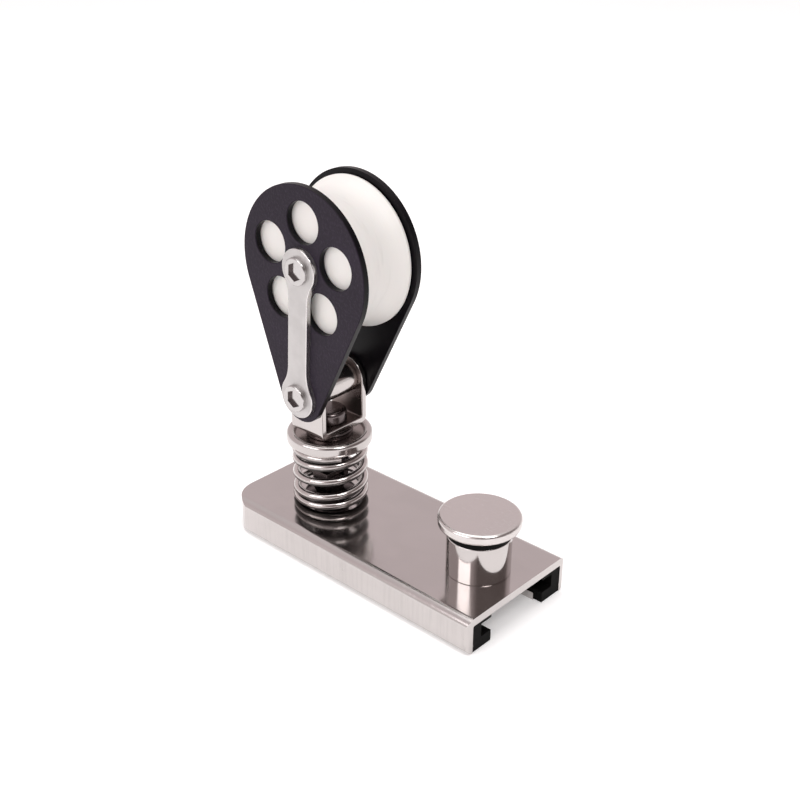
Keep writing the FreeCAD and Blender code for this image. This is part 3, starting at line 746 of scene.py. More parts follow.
class SHEAVEBLOCK_OT_channel(bpy.types.Operator):
    """Bend the slide's channel, cut its plan, its slot, its toe notches and its holes"""
    bl_idname = "sheaveblock.channel"
    bl_label = "Slide channel"

    def execute(self, context):
        sizes = context.scene.slide_sizes
        low, high = SLIDE_LOW, SLIDE_HIGH
        sheet = Vector((0, sizes.sheet, sizes.sheet))
        past = Vector((PAST, 0, 0))
        channel = block("channel_sheet", low, high)
        round_edges(channel, lambda edge: runs_along(edge, 0), sizes.bend, 10)
        cavity = block("cavity", low + sheet - past, high - sheet + past)
        round_edges(cavity, lambda edge: runs_along(edge, 0), sizes.bend - sizes.sheet, 4)
        carve(channel, cavity)
        half = sizes.lip_gap / 2
        slot_low = (low.x - PAST, -half, low.z - PAST)
        carve(channel, block("slot", slot_low, (high.x + PAST, half, low.z + 2 * sizes.sheet)))
        plan = block("plan", low - PAST * UP, high + PAST * UP)
        for side, radius, parts in ((-1, sizes.rear_corner, 20), (1, sizes.front_corner, 6)):
            round_edges(
                plan, lambda edge: runs_along(edge, 2) and side * middle_of(edge).x > high.x - SEAM,
                radius, parts)
        carve(channel, plan, "INTERSECT")
        inside = high.y - sizes.sheet
        for x_low in (low.x - PAST, high.x - sizes.toe):
            for y_low in (-inside, half - PAST):
                toe_low = (x_low, y_low, low.z - PAST)
                toe_high = (x_low + sizes.toe + PAST, y_low + inside - half + PAST, low.z + sizes.sheet)
                carve(channel, block("toe", toe_low, toe_high))
        for centre, radius in ((STAND, sizes.eye_hole), (PLUNGER, sizes.barrel_hole)):
            carve(channel, rod("hole", radius, centre + (high.z - 2 * sizes.sheet) * UP,
                               centre + (high.z + PAST) * UP))
        soften(channel, sizes.edge)
        polish(channel)
        metal = slide_sheet_metal("polished_sheet", context.scene.finishes.slide)
        dress(channel, metal, "slide_steel", "slide", "slide_channel")
        return {"FINISHED"}


class SHEAVEBLOCK_OT_carried_over(bpy.types.Operator):
    """Give the plain inner pieces that stay from the frame their own materials"""
    bl_idname = "sheaveblock.carried_over"
    bl_label = "Liners, pins and bushes"

    def execute(self, context):
        finishes = context.scene.finishes
        liner = moulded_black("liner_nylon", finishes.liner, 0.55, 0.0004)
        bush = bearing_plastic("bush_acetal", finishes.bush)
        pin = polished_metal("ground_pin", finishes.steel, 0.12, 0.05)
        dressed = {
            "liner_near": liner, "liner_far": liner, "sheave_bush": bush,
            "axle": pin, "fork_pin": pin,
        }
        for name, finish in dressed.items():
            for slot in frame["nodes"][name].material_slots:
                slot.material = finish
        return {"FINISHED"}


# The stand-up joint

class SHEAVEBLOCK_OT_stand_joint(bpy.types.Operator):
    """Make the padeye, the toggle link, the swivel post and their two cross pins"""
    bl_idname = "sheaveblock.stand_joint"
    bl_label = "Stand-up joint"

    def execute(self, context):
        self.sizes = context.scene.stand_sizes
        # Painted shade: the padeye, toggle, post and cross pins are coloured dark to stand for the shade
        # inside the spring.
        self.metal = polished_metal("greased_joint", context.scene.finishes.joint, 0.16, 0.12, STAND)
        self.padeye()
        self.toggle()
        self.post()
        self.cross_pins()
        return {"FINISHED"}

    def bar(self, name, half_x, half_y, z_low, z_high):
        low = STAND + Vector((-half_x, -half_y, z_low))
        return block(name, low, STAND + Vector((half_x, half_y, z_high)))

    def pin_hole(self, piece, centre, axis, radius):
        reach = 2 * self.sizes.jaw_outer * axis
        carve(piece, rod("pin_hole", radius, centre - reach, centre + reach, 48))

    def round_end(self, piece, height, axis):
        """Round the two edges at a height that run along an axis into a half circle."""
        round_edges(
            piece, lambda edge: runs_along(edge, axis) and abs(middle_of(edge).z - height) < SEAM,
            self.sizes.eye * EYE_BEVEL, 14)

    def padeye(self):
        sizes = self.sizes
        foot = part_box("base_padeye")[0].z
        plate_low = foot + RIVET_RISE
        plate_high = SLIDE_HIGH.z
        top = plate_high + FLANGE_RISE
        outline = [
            (0, foot), (sizes.rivet, foot), (sizes.rivet, plate_low), (sizes.shank, plate_low),
            (sizes.shank, plate_high), (sizes.flange, plate_high), (sizes.flange, top - BROAD_EDGE),
            (sizes.flange - BROAD_EDGE, top), (0, top),
        ]
        padeye = turned("padeye", outline, STAND)
        high = LOWER_PIN.z + sizes.eye
        eye = self.bar("eye", sizes.eye, sizes.eye_half, top - SINK, high)
        self.round_end(eye, high, 1)
        carve(padeye, eye, "UNION")
        self.pin_hole(padeye, LOWER_PIN, ACROSS, sizes.pin + RUNNING)
        soften(padeye, FINE_EDGE)
        complete(padeye, self.metal, "polished_steel", "slide", "base_padeye")

    def toggle(self):
        sizes = self.sizes
        low = LOWER_PIN.z - sizes.eye
        bridge = LOWER_PIN.z + sizes.eye + SIDE_GAP
        top = UPPER_PIN.z + sizes.eye
        waist = UPPER_PIN.z - sizes.eye - SIDE_GAP
        toggle = self.bar("toggle", sizes.eye, sizes.jaw_outer, low, waist)
        self.round_end(toggle, low, 1)
        gap = self.bar("gap", 2 * sizes.eye, sizes.jaw_inner, low - PAST, bridge)
        carve(toggle, gap)
        eye = self.bar("eye", sizes.eye_half, sizes.eye, waist - SINK, top)
        self.round_end(eye, top, 0)
        carve(toggle, eye, "UNION")
        self.pin_hole(toggle, LOWER_PIN, ACROSS, sizes.pin)
        self.pin_hole(toggle, UPPER_PIN, ALONG, sizes.pin + RUNNING)
        soften(toggle, FINE_EDGE)
        complete(toggle, self.metal, "polished_steel", "toggle", "toggle_link")

    def post(self):
        sizes = self.sizes
        low = UPPER_PIN.z - sizes.eye
        shoulder = UPPER_PIN.z + sizes.eye + SIDE_GAP
        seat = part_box("spring_cup")[0].z
        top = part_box("swivel_post")[1].z
        outline = [
            (0, shoulder), (sizes.shoulder, shoulder), (sizes.shoulder, seat),
            (sizes.shank, seat), (sizes.shank, top), (0, top),
        ]
        post = turned("swivel_post_turned", outline, STAND)
        jaws = self.bar("jaws", sizes.jaw_outer, sizes.eye, low, shoulder + SINK)
        self.round_end(jaws, low, 0)
        carve(jaws, self.bar("gap", sizes.jaw_inner, 2 * sizes.eye, low - PAST, shoulder))
        carve(post, jaws, "UNION")
        self.pin_hole(post, UPPER_PIN, ALONG, sizes.pin)
        soften(post, FINE_EDGE)
        complete(post, self.metal, "polished_steel", "post", "swivel_post")

    def cross_pins(self):
        sizes = self.sizes
        half = sizes.pin_half
        outline = [(0, -half)] + rounded_side(sizes.pin, -half, half, EDGE, 4) + [(0, half)]
        for name, centre, turn, body, node in (
                ("cross_pin_low", LOWER_PIN, (math.pi / 2, 0, 0), "toggle", "lower_cross_pin"),
                ("cross_pin_high", UPPER_PIN, (0, math.pi / 2, 0), "post", "upper_cross_pin")):
            pin = put(turned(name, outline, steps=48), turn, centre)
            complete(pin, self.metal, "polished_steel", body, node)


def wound(name, centre, coil, wire, heights, start, round_parts):
    """Wind round wire through (turn, height) points and return it as a mesh."""
    turns = heights[-1][0]
    count = round(turns * STEPS_PER_TURN)
    bpy.ops.object.select_all(action="DESELECT")
    bpy.ops.curve.primitive_nurbs_path_add(location=(0, 0, 0))
    path = rename(bpy.context.active_object, name)
    spline = path.data.splines[0]
    spline.points.add(count + 1 - len(spline.points))
    for step, point in enumerate(spline.points):
        turn = turns * step / count
        angle = start + FULL_TURN * turn
        across = Vector((math.cos(angle), math.sin(angle), 0)) * coil
        point.co = (*(centre + across + height_at(heights, turn) * UP), 1)
    spline.order_u = 3
    spline.use_endpoint_u = True
    spline.resolution_u = 1
    path.data.bevel_depth = wire
    path.data.bevel_resolution = round_parts
    path.data.use_fill_caps = True
    only(path)
    bpy.ops.object.convert(target="MESH")
    return bpy.context.active_object


def closed_ends(low, high, wire, turns):
    """The (turn, height) points of a coil whose first and last turns lie closed."""
    return [(0, low + wire), (1, low + 3 * wire), (turns - 1, high - 3 * wire), (turns, high - wire)]


def height_at(heights, turn):
    """Height of the wire's middle, a number of turns from the coil's foot."""
    for low, high in zip(heights, heights[1:]):
        if turn <= high[0]:
            return low[1] + (high[1] - low[1]) * (turn - low[0]) / (high[0] - low[0])
    return heights[-1][1]


def grind_ends(piece, low, high):
    """Cut a spring flat at its two ends."""
    with editing(piece):
        for height, facing in ((low, -UP), (high, UP)):
            bpy.ops.mesh.select_all(action="SELECT")
            bpy.ops.mesh.bisect(
                plane_co=(0, 0, height), plane_no=facing, clear_outer=True, use_fill=True)


class SHEAVEBLOCK_OT_stand_spring(bpy.types.Operator):
    """Wind the stand-up spring, grind its ends, and part it where its lean changes direction"""
    bl_idname = "sheaveblock.stand_spring"
    bl_label = "Stand-up spring"

    def execute(self, context):
        sizes = context.scene.stand_sizes
        low = SLIDE_HIGH.z
        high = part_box("spring_cup")[0].z
        wire = sizes.wire
        heights = closed_ends(low, high, wire, STAND_TURNS)
        coil = sizes.coil - wire
        spring = wound("spring_lower_turns", STAND, coil, wire, heights, STAND_START, 5)
        parting = (heights[1][0] + heights[2][0]) / 2
        pitch = (heights[2][1] - heights[1][1]) / (heights[2][0] - heights[1][0])

        def is_upper(face):
            """True where a face lies past the parting turn along the wire."""
            place = face.calc_center_median() - STAND
            rough_turn = heights[1][0] + (place.z - heights[1][1]) / pitch
            share = (math.atan2(place.y, place.x) - STAND_START) / FULL_TURN
            turn = share + round(rough_turn - share)
            return turn > parting if abs(rough_turn - parting) < 1 else rough_turn > parting

        with editing(spring):
            pick(spring, "faces", is_upper)
            bpy.ops.mesh.separate(type="SELECTED")
        upper = next(piece for piece in bpy.context.selected_objects if piece != spring)
        rename(upper, "spring_upper_turns")
        metal = drawn_wire("drawn_spring_wire", context.scene.finishes.wire)
        middle = height_at(heights, parting)
        limits = (
            (spring, "slide", "toggle", low + 2 * wire, middle - SINK),
            (upper, "toggle", "post", middle + SINK, high - 2 * wire),
        )
        for piece, below, above, first, last in limits:
            with editing(piece):
                bpy.ops.mesh.select_mode(type="EDGE")
                bpy.ops.mesh.select_all(action="DESELECT")
                bpy.ops.mesh.select_non_manifold()
                bpy.ops.mesh.edge_face_add()
            grind_ends(piece, low, high)
            polish(piece)
            piece.data.materials.clear()
            piece.data.materials.append(metal)
            STAND + first * UP
            STAND + last * UP
            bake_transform(piece)
        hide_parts("stand_up_spring")
        return {"FINISHED"}


class SHEAVEBLOCK_OT_cup(bpy.types.Operator):
    """Turn the spring cup and the domed nut that holds the fork down on its washer"""
    bl_idname = "sheaveblock.cup"
    bl_label = "Spring cup and nut"

    def execute(self, context):
        sizes = context.scene.stand_sizes
        low, high = (corner.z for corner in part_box("spring_cup"))
        rim = sizes.cup_rim
        middle = sizes.cup - rim
        inner = sizes.cup - 2 * rim - BROAD_EDGE

        # Painted shade: the share of the cup's floor and inner wall that is darkened, as shade falls inside
        # the cup under the fork.
        def inside(graph, where):
            within = 1 - graph.step(graph.radius(where, 0, 1), inner, middle)
            return within * graph.step(graph.axis(where, 2), low, high)

        metal = polished_metal(
            "polished_cup", context.scene.finishes.steel, 0.1, 0.06, STAND, dull=inside)
        # Painted shade: the washer and the nut take the dark joint colour, standing for the shade under the
        # fork.
        painted_shade = polished_metal("greased_washer", context.scene.finishes.joint, 0.14, 0.1, STAND)
        outline = [(sizes.shank, low)] + arc((middle, low + rim), rim, -90, 0)
        outline += arc((middle, high - rim), rim, 0, 180, 14)
        outline += [(inner, low + sizes.cup_floor), (sizes.shank, low + sizes.cup_floor), (sizes.shank, low)]
        cup = turned("cup_turned", outline, STAND)
        complete(cup, metal, "polished_steel", "post", "spring_cup")
        low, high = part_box("thrust_washer")
        radius = (high.x - low.x) / 2
        outline = [(sizes.shank, low.z)] + rounded_side(radius, low.z, high.z, BROAD_EDGE, 4)
        outline += [(sizes.shank, high.z), (sizes.shank, low.z)]
        washer = turned("thrust_ring", outline, STAND)
        complete(washer, painted_shade, "polished_steel", "post", "thrust_washer")
        low, high = (corner.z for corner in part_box("swivel_nut"))
        edge = sizes.nut_edge
        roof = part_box("swivel_post")[1].z
        outline = [(sizes.shank, low), (sizes.nut - FINE_EDGE, low), (sizes.nut, low + FINE_EDGE)]
        outline += arc((sizes.nut - edge, high - edge), edge, 0, 90)
        outline += [(0, high), (0, roof), (sizes.shank, roof), (sizes.shank, low)]
        nut = turned("domed_nut", outline, STAND)
        complete(nut, painted_shade, "polished_steel", "post", "swivel_nut")
        return {"FINISHED"}


# The head

class SHEAVEBLOCK_OT_fork(bpy.types.Operator):
    """Bend the U-shaped fork and turn the spacer tube between its ears"""
    bl_idname = "sheaveblock.fork"
    bl_label = "Fork and spacer"

    def execute(self, context):
        sizes = context.scene.head_sizes
        low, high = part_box("fork")
        inner = high.y - sizes.fork_strap

        # Painted shade: the share of the fork's inner faces, between its ears and above its web, that is
        # darkened.
        def inside(graph, where):
            web = low.z + sizes.fork_web - FORK_PIN.z
            above_web = graph.step(graph.axis(where, 2), web - EDGE, web)
            between = 1 - graph.step(abs(graph.axis(where, 1)), inner, inner + EDGE)
            return above_web * between

        metal = polished_metal(
            "polished_fork", context.scene.finishes.steel, 0.1, 0.06, FORK_PIN, dull=inside)
        fork = block("fork_strap", low, high)
        round_edges(
            fork, lambda edge: runs_along(edge, 0) and middle_of(edge).z < low.z + SEAM,
            sizes.fork_bend, 8)
        round_edges(
            fork, lambda edge: runs_along(edge, 1) and middle_of(edge).z > high.z - SEAM,
            (high.x - low.x) / 2 * FORK_BEVEL, 24)
        space = block(
            "space", (low.x - PAST, -inner, low.z + sizes.fork_web), (high.x + PAST, inner, high.z + PAST))
        round_edges(
            space, lambda edge: runs_along(edge, 0) and middle_of(edge).z < FORK_PIN.z,
            FORK_INNER_BEND, 4)
        carve(fork, space)
        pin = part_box("fork_pin")[1].y
        carve(fork, rod("pin_hole", FORK_HOLE, FORK_PIN - pin * ACROSS, FORK_PIN + pin * ACROSS))
        shank = rod("shank_hole", FORK_HOLE, STAND + (low.z - PAST) * UP, STAND + (low.z + PAST) * UP)
        carve(fork, shank)
        soften(fork, BROAD_EDGE, 4)
        complete(fork, metal, "polished_steel", "fork", "fork")
        outline = [(FORK_HOLE, -inner), (sizes.spacer - EDGE, -inner), (sizes.spacer, EDGE - inner)]
        outline += [(sizes.spacer, inner - EDGE), (sizes.spacer - EDGE, inner), (FORK_HOLE, inner)]
        spacer = turned("spacer_sleeve", outline + outline[:1])
        put(spacer, (-math.pi / 2, 0, 0), FORK_PIN)
        polish(spacer)
        bright = polished_metal("turned_spacer", context.scene.finishes.steel, 0.12, 0.06, FORK_PIN)
        dress(spacer, bright, "polished_steel", "fork", "spacer_tube")
        return {"FINISHED"}


class SHEAVEBLOCK_OT_cheeks(bpy.types.Operator):
    """Mould the two teardrop cheeks with their five round windows"""
    bl_idname = "sheaveblock.cheeks"
    bl_label = "Cheeks"

    def execute(self, context):
        sizes = context.scene.head_sizes
        inner, outer = sizes.cheek_inner, sizes.cheek_outer
        rise = AXLE_RISE * UP
        cheek = rod("cheek_far_moulded", sizes.cheek_top, rise + inner * ACROSS, rise + outer * ACROSS, 192)
        foot = rod("foot", sizes.cheek_foot, inner * ACROSS, outer * ACROSS, 96)
        foot.select_set(True)
        cheek.select_set(True)
        bpy.context.view_layer.objects.active = cheek
        bpy.ops.object.join()
        with editing(cheek):
            bpy.ops.mesh.select_all(action="SELECT")
            bpy.ops.mesh.convex_hull()
            bpy.ops.mesh.select_all(action="SELECT")
            bpy.ops.mesh.dissolve_limited(angle_limit=math.radians(0.5))
        for number in range(WINDOWS):
            angle = math.pi / 2 + FULL_TURN * number / WINDOWS
            centre = rise + sizes.window_circle * Vector((math.cos(angle), 0, math.sin(angle)))
            carve(cheek, rod("window", sizes.window, centre, centre + 2 * outer * ACROSS, 96))
        round_edges(cheek, lambda edge: on_rim(edge, outer), sizes.cheek_edge / 2, 3)
        polish(cheek)
        lean(cheek)
        near = mirrored(cheek, "cheek_near_moulded")
        polish(near)
        nylon = cheek_nylon("cheek_nylon", context.scene.finishes.cheek, inner, outer)
        dress(cheek, nylon, "black_cheek", "head", "cheek_far")
        dress(near, nylon, "black_cheek", "head", "cheek_near")
        return {"FINISHED"}


class SHEAVEBLOCK_OT_straps(bpy.types.Operator):
    """Cut the two dog-bone straps and mark their worn outer edges, which carry a painted highlight"""
    bl_idname = "sheaveblock.straps"
    bl_label = "Straps"

    def execute(self, context):
        sizes = context.scene.head_sizes
        inner, outer = sizes.cheek_outer, sizes.strap_outer
        reach = sizes.strap_end + sizes.strap_neck
        across = sizes.strap_waist + sizes.strap_neck
        along = math.sqrt(reach ** 2 - across ** 2)
        turn = math.degrees(math.asin(along / reach))
        end, neck, top = sizes.strap_end, sizes.strap_neck, AXLE_RISE - along
        outline = arc((0, AXLE_RISE), end, -turn, 180 + turn, 60)
        outline += arc((-across, top), neck, turn, 0, 16) + arc((-across, along), neck, 0, -turn, 16)
        outline += arc((0, 0), end, 180 - turn, 360 + turn, 60)
        outline += arc((across, along), neck, 180 + turn, 180, 16)
        outline += arc((across, top), neck, 180, 180 - turn, 16)
        strap = plate("strap_far_tumbled", outline + outline[:1], inner, outer)
        for height in (0, AXLE_RISE):
            end = height * UP
            carve(strap, rod("screw_hole", sizes.screw, end, end + 2 * outer * ACROSS, 48))
        round_edges(strap, lambda edge: on_rim(edge, outer), sizes.strap_edge, 3)
        polish(strap)
        self.wear(strap, outer - sizes.strap_edge, outer)
        lean(strap)
        near = mirrored(strap, "strap_near_tumbled")
        polish(near)
        metal = tumbled_metal("tumbled_steel", context.scene.finishes.strap)
        dress(strap, metal, "strap_steel", "head", "strap_far")
        dress(near, metal, "strap_steel", "head", "strap_near")
        return {"FINISHED"}

    def wear(self, strap, low, high):
        """Mark the rounded outer edge, which the material paints brighter as a painted highlight and makes
        less rough.
        """
        edge = strap.data.attributes.new("worn_edge", "FLOAT", "POINT")
        for vertex, value in zip(strap.data.vertices, edge.data):
            value.value = 1.0 if low - SEAM < vertex.co.y < high - SEAM else 0.0


class SHEAVEBLOCK_OT_screws(bpy.types.Operator):
    """Make one low-head socket screw and copy it to both ends of the axle and the fork pin"""
    bl_idname = "sheaveblock.screws"
    bl_label = "Strap screws"

    def execute(self, context):
        sizes = context.scene.head_sizes
        rise = sizes.screw_rise
        screw = rod("screw_0", sizes.screw_head, (0, 0, 0), (0, 0, rise), 96)
        with editing(screw):
            pick(screw, "faces", lambda face: face.normal.z < -0.9)
            bpy.ops.mesh.inset(thickness=sizes.screw_head - sizes.screw)
            bpy.ops.mesh.extrude_region_move(TRANSFORM_OT_translate={"value": (0, 0, -SCREW_LENGTH)})
        socket_radius = sizes.socket / 2 / math.cos(math.radians(30))
        bottom = rise - sizes.socket_depth
        round_edges(screw, lambda edge: min(v.co.z for v in edge.verts) > rise - SEAM, SCREW_EDGE, 5)
        socket = rod("socket", socket_radius, (0, 0, bottom), (0, 0, rise + PAST), 6)
        carve(screw, socket)
        round_edges(
            screw, lambda edge: min(v.co.z for v in edge.verts) > rise - SEAM
            and max(v.co.xy.length for v in edge.verts) < socket_radius + SEAM,
            SOCKET_EDGE, 2)
        polish(screw)
        wall = screw.data.attributes.new("socket_wall", "FLOAT", "FACE")
        for face, value in zip(screw.data.polygons, wall.data):
            value.value = abs(face.normal.z) < 0.5 and face.center.xy.length < socket_radius

        # Painted shade: the socket's walls are darkened towards the dark joint colour, as shade falls in the
        # socket.
        def socket_wall_shade(graph, where):
            return graph.node("ShaderNodeAttribute", {"attribute_name": "socket_wall"}, output=2)

        metal = polished_metal(
            "socket_screw_steel", context.scene.finishes.strap, 0.14, 0.06, dull=socket_wall_shade,
            painted_shade=context.scene.finishes.joint)
        places = [(side, height) for side in (-1, 1) for height in (0, AXLE_RISE)]
        screws = [screw] + [copied(screw, "screw_%d" % number) for number in (1, 2, 3)]
        for piece, (side, height) in zip(screws, places):
            put(piece, (-side * math.pi / 2, 0, 0), (0, side * sizes.strap_outer, height))
            lean(piece)
            dress(piece, metal, "strap_steel", "head")
        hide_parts("strap_screws")
        return {"FINISHED"}


class SHEAVEBLOCK_OT_sheave(bpy.types.Operator):
    """Turn the white sheave with its shallow rope groove"""
    bl_idname = "sheaveblock.sheave"
    bl_label = "Sheave"

    def execute(self, context):
        sizes = context.scene.head_sizes
        half = sizes.sheave_half
        groove_half = half - sizes.sheave_land
        depth = sizes.groove
        hollow = (groove_half ** 2 + depth ** 2) / (2 * depth)
        centre = sizes.sheave - depth + hollow
        spread = math.degrees(math.asin(groove_half / hollow))
        rim = sizes.sheave - FINE_EDGE
        outline = [(SHEAVE_BORE, -half), (rim, -half), (sizes.sheave, FINE_EDGE - half)]
        outline += arc((centre, 0), hollow, 180 + spread, 180 - spread, 24)
        outline += [(sizes.sheave, half - FINE_EDGE), (rim, half), (SHEAVE_BORE, half)]
        outline += outline[:1]
        sheave = turned("sheave_turned", outline, steps=192)
        put(sheave, (-math.pi / 2, 0, 0), AXLE)
        polish(sheave)
        acetal = turned_acetal("white_acetal", context.scene.finishes.sheave)
        dress(sheave, acetal, "white_sheave", "sheave", "sheave")
        return {"FINISHED"}


# The stop plunger

class SHEAVEBLOCK_OT_plunger(bpy.types.Operator):
    """Turn the plunger's barrel, pin, guide bush and pull cap and wind its return spring"""
    bl_idname = "sheaveblock.plunger"
    bl_label = "Stop plunger"

    def execute(self, context):
        self.sizes = context.scene.plunger_sizes
        self.metal = polished_metal(
            "polished_barrel", context.scene.finishes.steel, 0.07, 0.05, PLUNGER)
        self.barrel(context.scene.slide_sizes.barrel_hole)
        self.pin()
        self.guide_bush(context.scene.finishes.liner)
        self.cap(context.scene.finishes.steel)
        self.spring(context.scene.finishes.wire)
        return {"FINISHED"}

    def barrel(self, spigot):
        sizes = self.sizes
        low, high = BARREL_LOW.z, BARREL_HIGH.z
        seat = SLIDE_HIGH.z
        floor = seat + sizes.floor
        hole = sizes.guide + RUNNING
        outline = [(hole, low), (spigot, low), (spigot, seat)]
        outline += [(sizes.barrel - FINE_EDGE, seat), (sizes.barrel, seat + FINE_EDGE)]
        outline += arc((sizes.barrel - EDGE, sizes.skirt - EDGE), EDGE, 0, 90, 5)
        outline += [(sizes.mouth, sizes.skirt), (sizes.mouth, high), (sizes.bore, high)]
        outline += [(sizes.bore, floor), (hole, floor), (hole, low)]
        barrel = turned("barrel_turned", outline, PLUNGER, 160)
        complete(barrel, self.metal, "polished_steel", "slide", "plunger_barrel")

    def guide_bush(self, colour):
        """The bush in the barrel's mouth, whose black skirt shows below the cap."""
        sizes = self.sizes
        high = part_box("barrel_bush")[1].z
        seat = BARREL_HIGH.z
        low = seat - GUIDE_DEPTH
        bore = sizes.rod + RUNNING
        edge = FINE_EDGE
        outline = [(bore, low), (sizes.bore, low), (sizes.bore, seat), (sizes.mouth, seat)]
        outline += [(sizes.mouth, sizes.skirt), (sizes.barrel - edge, sizes.skirt)]
        outline += [(sizes.barrel, sizes.skirt + edge)]
        outline += arc((sizes.barrel - edge, high - edge), edge, 0, 90, 4)
        outline += [(bore, high), (bore, low)]
        bush = turned("guide_bush", outline, PLUNGER)
        polish(bush)
        nylon = moulded_black("bush_nylon", colour, 0.5, 0.0003, PLUNGER)
        dress(bush, nylon, "black_liner", "slide", "barrel_bush")

    def pin(self):
        sizes = self.sizes
        tip, top = (corner.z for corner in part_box("plunger_pin"))
        relief = sizes.nose * RELIEF_SHARE
        collar = SLIDE_HIGH.z + sizes.floor + COLLAR_GAP
        collar_top = collar + COLLAR_RISE
        outline = [
            (0, tip), (sizes.nose - NOSE_CHAMFER, tip), (sizes.nose, tip + NOSE_CHAMFER),
            (sizes.nose, RELIEF_LOW), (relief, RELIEF_LOW), (relief, RELIEF_HIGH), (sizes.guide, RELIEF_HIGH),
            (sizes.guide, collar), (sizes.collar, collar), (sizes.collar, collar_top),
            (sizes.rod, collar_top), (sizes.rod, top), (0, top),
        ]
        pin = turned("pin_turned", outline, PLUNGER, 64)
        complete(pin, self.metal, "polished_steel", "plunger", "plunger_pin")

    def cap(self, colour):
        sizes = self.sizes
        low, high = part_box("plunger_cap")
        radius = (high.x - low.x) / 2
        rod_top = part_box("plunger_pin")[1].z
        outline = [(sizes.rod, low.z)] + rounded_side(radius, low.z, high.z, sizes.cap_edge)
        outline += [(0, high.z), (0, rod_top), (sizes.rod, rod_top), (sizes.rod, low.z)]
        cap = turned("pull_cap_turned", outline, PLUNGER, 160)
        polish(cap)
        # Painted sheen: the cap's steel is a lighter copy of the fittings' colour, so that its top reads
        # brighter.
        metal = polished_metal("buffed_cap", shaded(colour, 1.18), 0.16, 0.1, PLUNGER)
        dress(cap, metal, "polished_steel", "plunger", "plunger_cap")

    def spring(self, colour):
        sizes = self.sizes
        wire = sizes.wire
        low = SLIDE_HIGH.z + sizes.floor + COLLAR_GAP + COLLAR_RISE
        high = BARREL_HIGH.z - GUIDE_DEPTH
        heights = closed_ends(low, high, wire, RETURN_TURNS)
        spring = wound("return_spring", PLUNGER, sizes.coil, wire, heights, 0, 3)
        grind_ends(spring, low, high)
        polish(spring)
        metal = drawn_wire("return_spring_wire", colour)
        dress(spring, metal, "spring_steel", "slide", "plunger_spring")
        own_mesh(spring)


# The stage

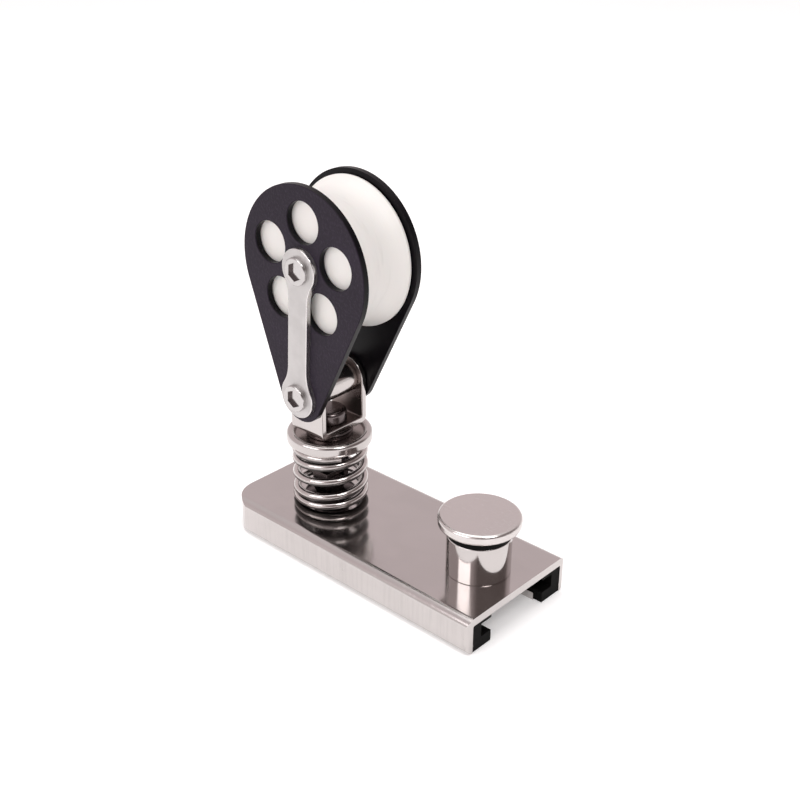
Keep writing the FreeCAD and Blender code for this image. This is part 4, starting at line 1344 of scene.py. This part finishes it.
class SHEAVEBLOCK_OT_stage(bpy.types.Operator):
    """Lay the pale floor, light the room softly and set the camera"""
    bl_idname = "sheaveblock.stage"
    bl_label = "Stage"

    def execute(self, context):
        settings = context.scene.stage_settings
        bpy.ops.object.select_all(action="DESELECT")
        bpy.ops.mesh.primitive_plane_add(size=settings.floor, location=(0, 0, SLIDE_LOW.z))
        floor = named("floor")
        floor.data.materials.append(floor_paint("pale_floor", settings.glow))
        self.room(context.scene, settings)
        self.lamps()
        self.camera(context.scene, settings)
        return {"FINISHED"}

    def room(self, scene, settings):
        """A soft room: pale round about, with a dim patch on the plunger's side for the steel to mirror."""
        world = bpy.data.worlds.new("studio_room")
        scene.world = world
        world.use_nodes = True
        graph = Graph(world.node_tree)
        direction = graph.node("ShaderNodeTexCoord", output=0)
        rise = graph.axis(direction, 2)
        shades = ((0.0, (0.98, 0.97, 0.96)), (0.25, (0.88, 0.79, 0.79)), (0.6, (0.80, 0.70, 0.71)),
                  (1.0, (0.92, 0.90, 0.89)))
        sky = graph.node("ShaderNodeValToRGB", {"stops": shades}, {0: rise})
        dim_side = math.radians(92)
        toward = (math.sin(dim_side), -math.cos(dim_side), 0.25)
        facing = graph.node("ShaderNodeVectorMath", {"operation": "DOT_PRODUCT"},
                            {0: direction, 1: toward}, output=1)
        band = graph.step(rise, 0.12, 0.25) * (1 - graph.step(rise, 0.72, 0.95))
        dim = graph.step(facing, 0.30, 0.66) * band
        shade = graph.blend(dim, sky, (0.24, 0.20, 0.195))
        background = graph.node("ShaderNodeBackground", None, {"Color": shade, "Strength": settings.sky})
        graph.node("ShaderNodeOutputWorld", None, {"Surface": background})

    def lamps(self):
        """Soft boxes: overhead, in front for the bright edges, and high at the side for the groove."""
        boxes = (
            ("overhead_box", (-0.15, 0.0, 1.3), 1.0, 1.0, 5.5),
            ("front_box", (-0.16, -1.0, 0.60), 0.80, 0.42, 3.4),
            ("side_box", (0.60, -0.12, 0.95), 0.35, 0.35, 3.2),
        )
        aim = Vector((0, 0, 0.04))
        for name, place, wide, high, watts in boxes:
            bpy.ops.object.light_add(type="AREA", location=place)
            lamp = bpy.context.active_object
            lamp.name = name
            lamp.rotation_euler = (Vector(place) - aim).to_track_quat("Z", "Y").to_euler()
            lamp.data.shape = "RECTANGLE"
            lamp.data.size = wide
            lamp.data.size_y = high
            lamp.data.energy = watts

    def camera(self, scene, settings):
        flat = math.cos(settings.elevation)
        back = Vector((math.sin(settings.azimuth) * flat, -math.cos(settings.azimuth) * flat,
                       math.sin(settings.elevation)))
        bpy.ops.object.camera_add(location=settings.aim * UP + settings.distance * back)
        camera = bpy.context.active_object
        camera.rotation_euler = back.to_track_quat("Z", "Y").to_euler()
        camera.data.lens = settings.lens
        camera.data.sensor_width = 36
        camera.data.shift_x = settings.shift_right
        camera.data.shift_y = settings.shift_up
        camera.data.clip_start = 0.01
        camera.data.clip_end = 50
        scene.camera = camera
        scene.view_settings.view_transform = "Standard"


OPERATORS = (
    SHEAVEBLOCK_OT_stage,
    SHEAVEBLOCK_OT_channel,
    SHEAVEBLOCK_OT_carried_over,
    SHEAVEBLOCK_OT_stand_joint,
    SHEAVEBLOCK_OT_stand_spring,
    SHEAVEBLOCK_OT_cup,
    SHEAVEBLOCK_OT_fork,
    SHEAVEBLOCK_OT_cheeks,
    SHEAVEBLOCK_OT_straps,
    SHEAVEBLOCK_OT_screws,
    SHEAVEBLOCK_OT_sheave,
    SHEAVEBLOCK_OT_plunger,
)


class SHEAVEBLOCK_PT_panel(bpy.types.Panel):
    """The block's pieces, and the sizes and colours behind them"""
    bl_idname = "SHEAVEBLOCK_PT_panel"
    bl_label = "Sheave Block"
    bl_space_type = "VIEW_3D"
    bl_region_type = "UI"
    bl_category = "Sheave Block"

    def draw(self, context):
        for operator in OPERATORS:
            self.layout.operator(operator.bl_idname)
        for name, group in GROUPS.items():
            box = self.layout.box()
            for field in group.__annotations__:
                box.prop(getattr(context.scene, name), field)


def register():
    for group in GROUPS.values():
        bpy.utils.register_class(group)
    for name, group in GROUPS.items():
        setattr(bpy.types.Scene, name, bpy.props.PointerProperty(type=group))
    for operator in OPERATORS:
        bpy.utils.register_class(operator)
    bpy.utils.register_class(SHEAVEBLOCK_PT_panel)


def unregister():
    bpy.utils.unregister_class(SHEAVEBLOCK_PT_panel)
    for operator in reversed(OPERATORS):
        bpy.utils.unregister_class(operator)
    for name, group in GROUPS.items():
        delattr(bpy.types.Scene, name)
        bpy.utils.unregister_class(group)


def main():
    register()
    for operator in OPERATORS:
        getattr(bpy.ops.sheaveblock, operator.bl_idname.split(".")[1])()


if __name__ == "__main__":
    main()
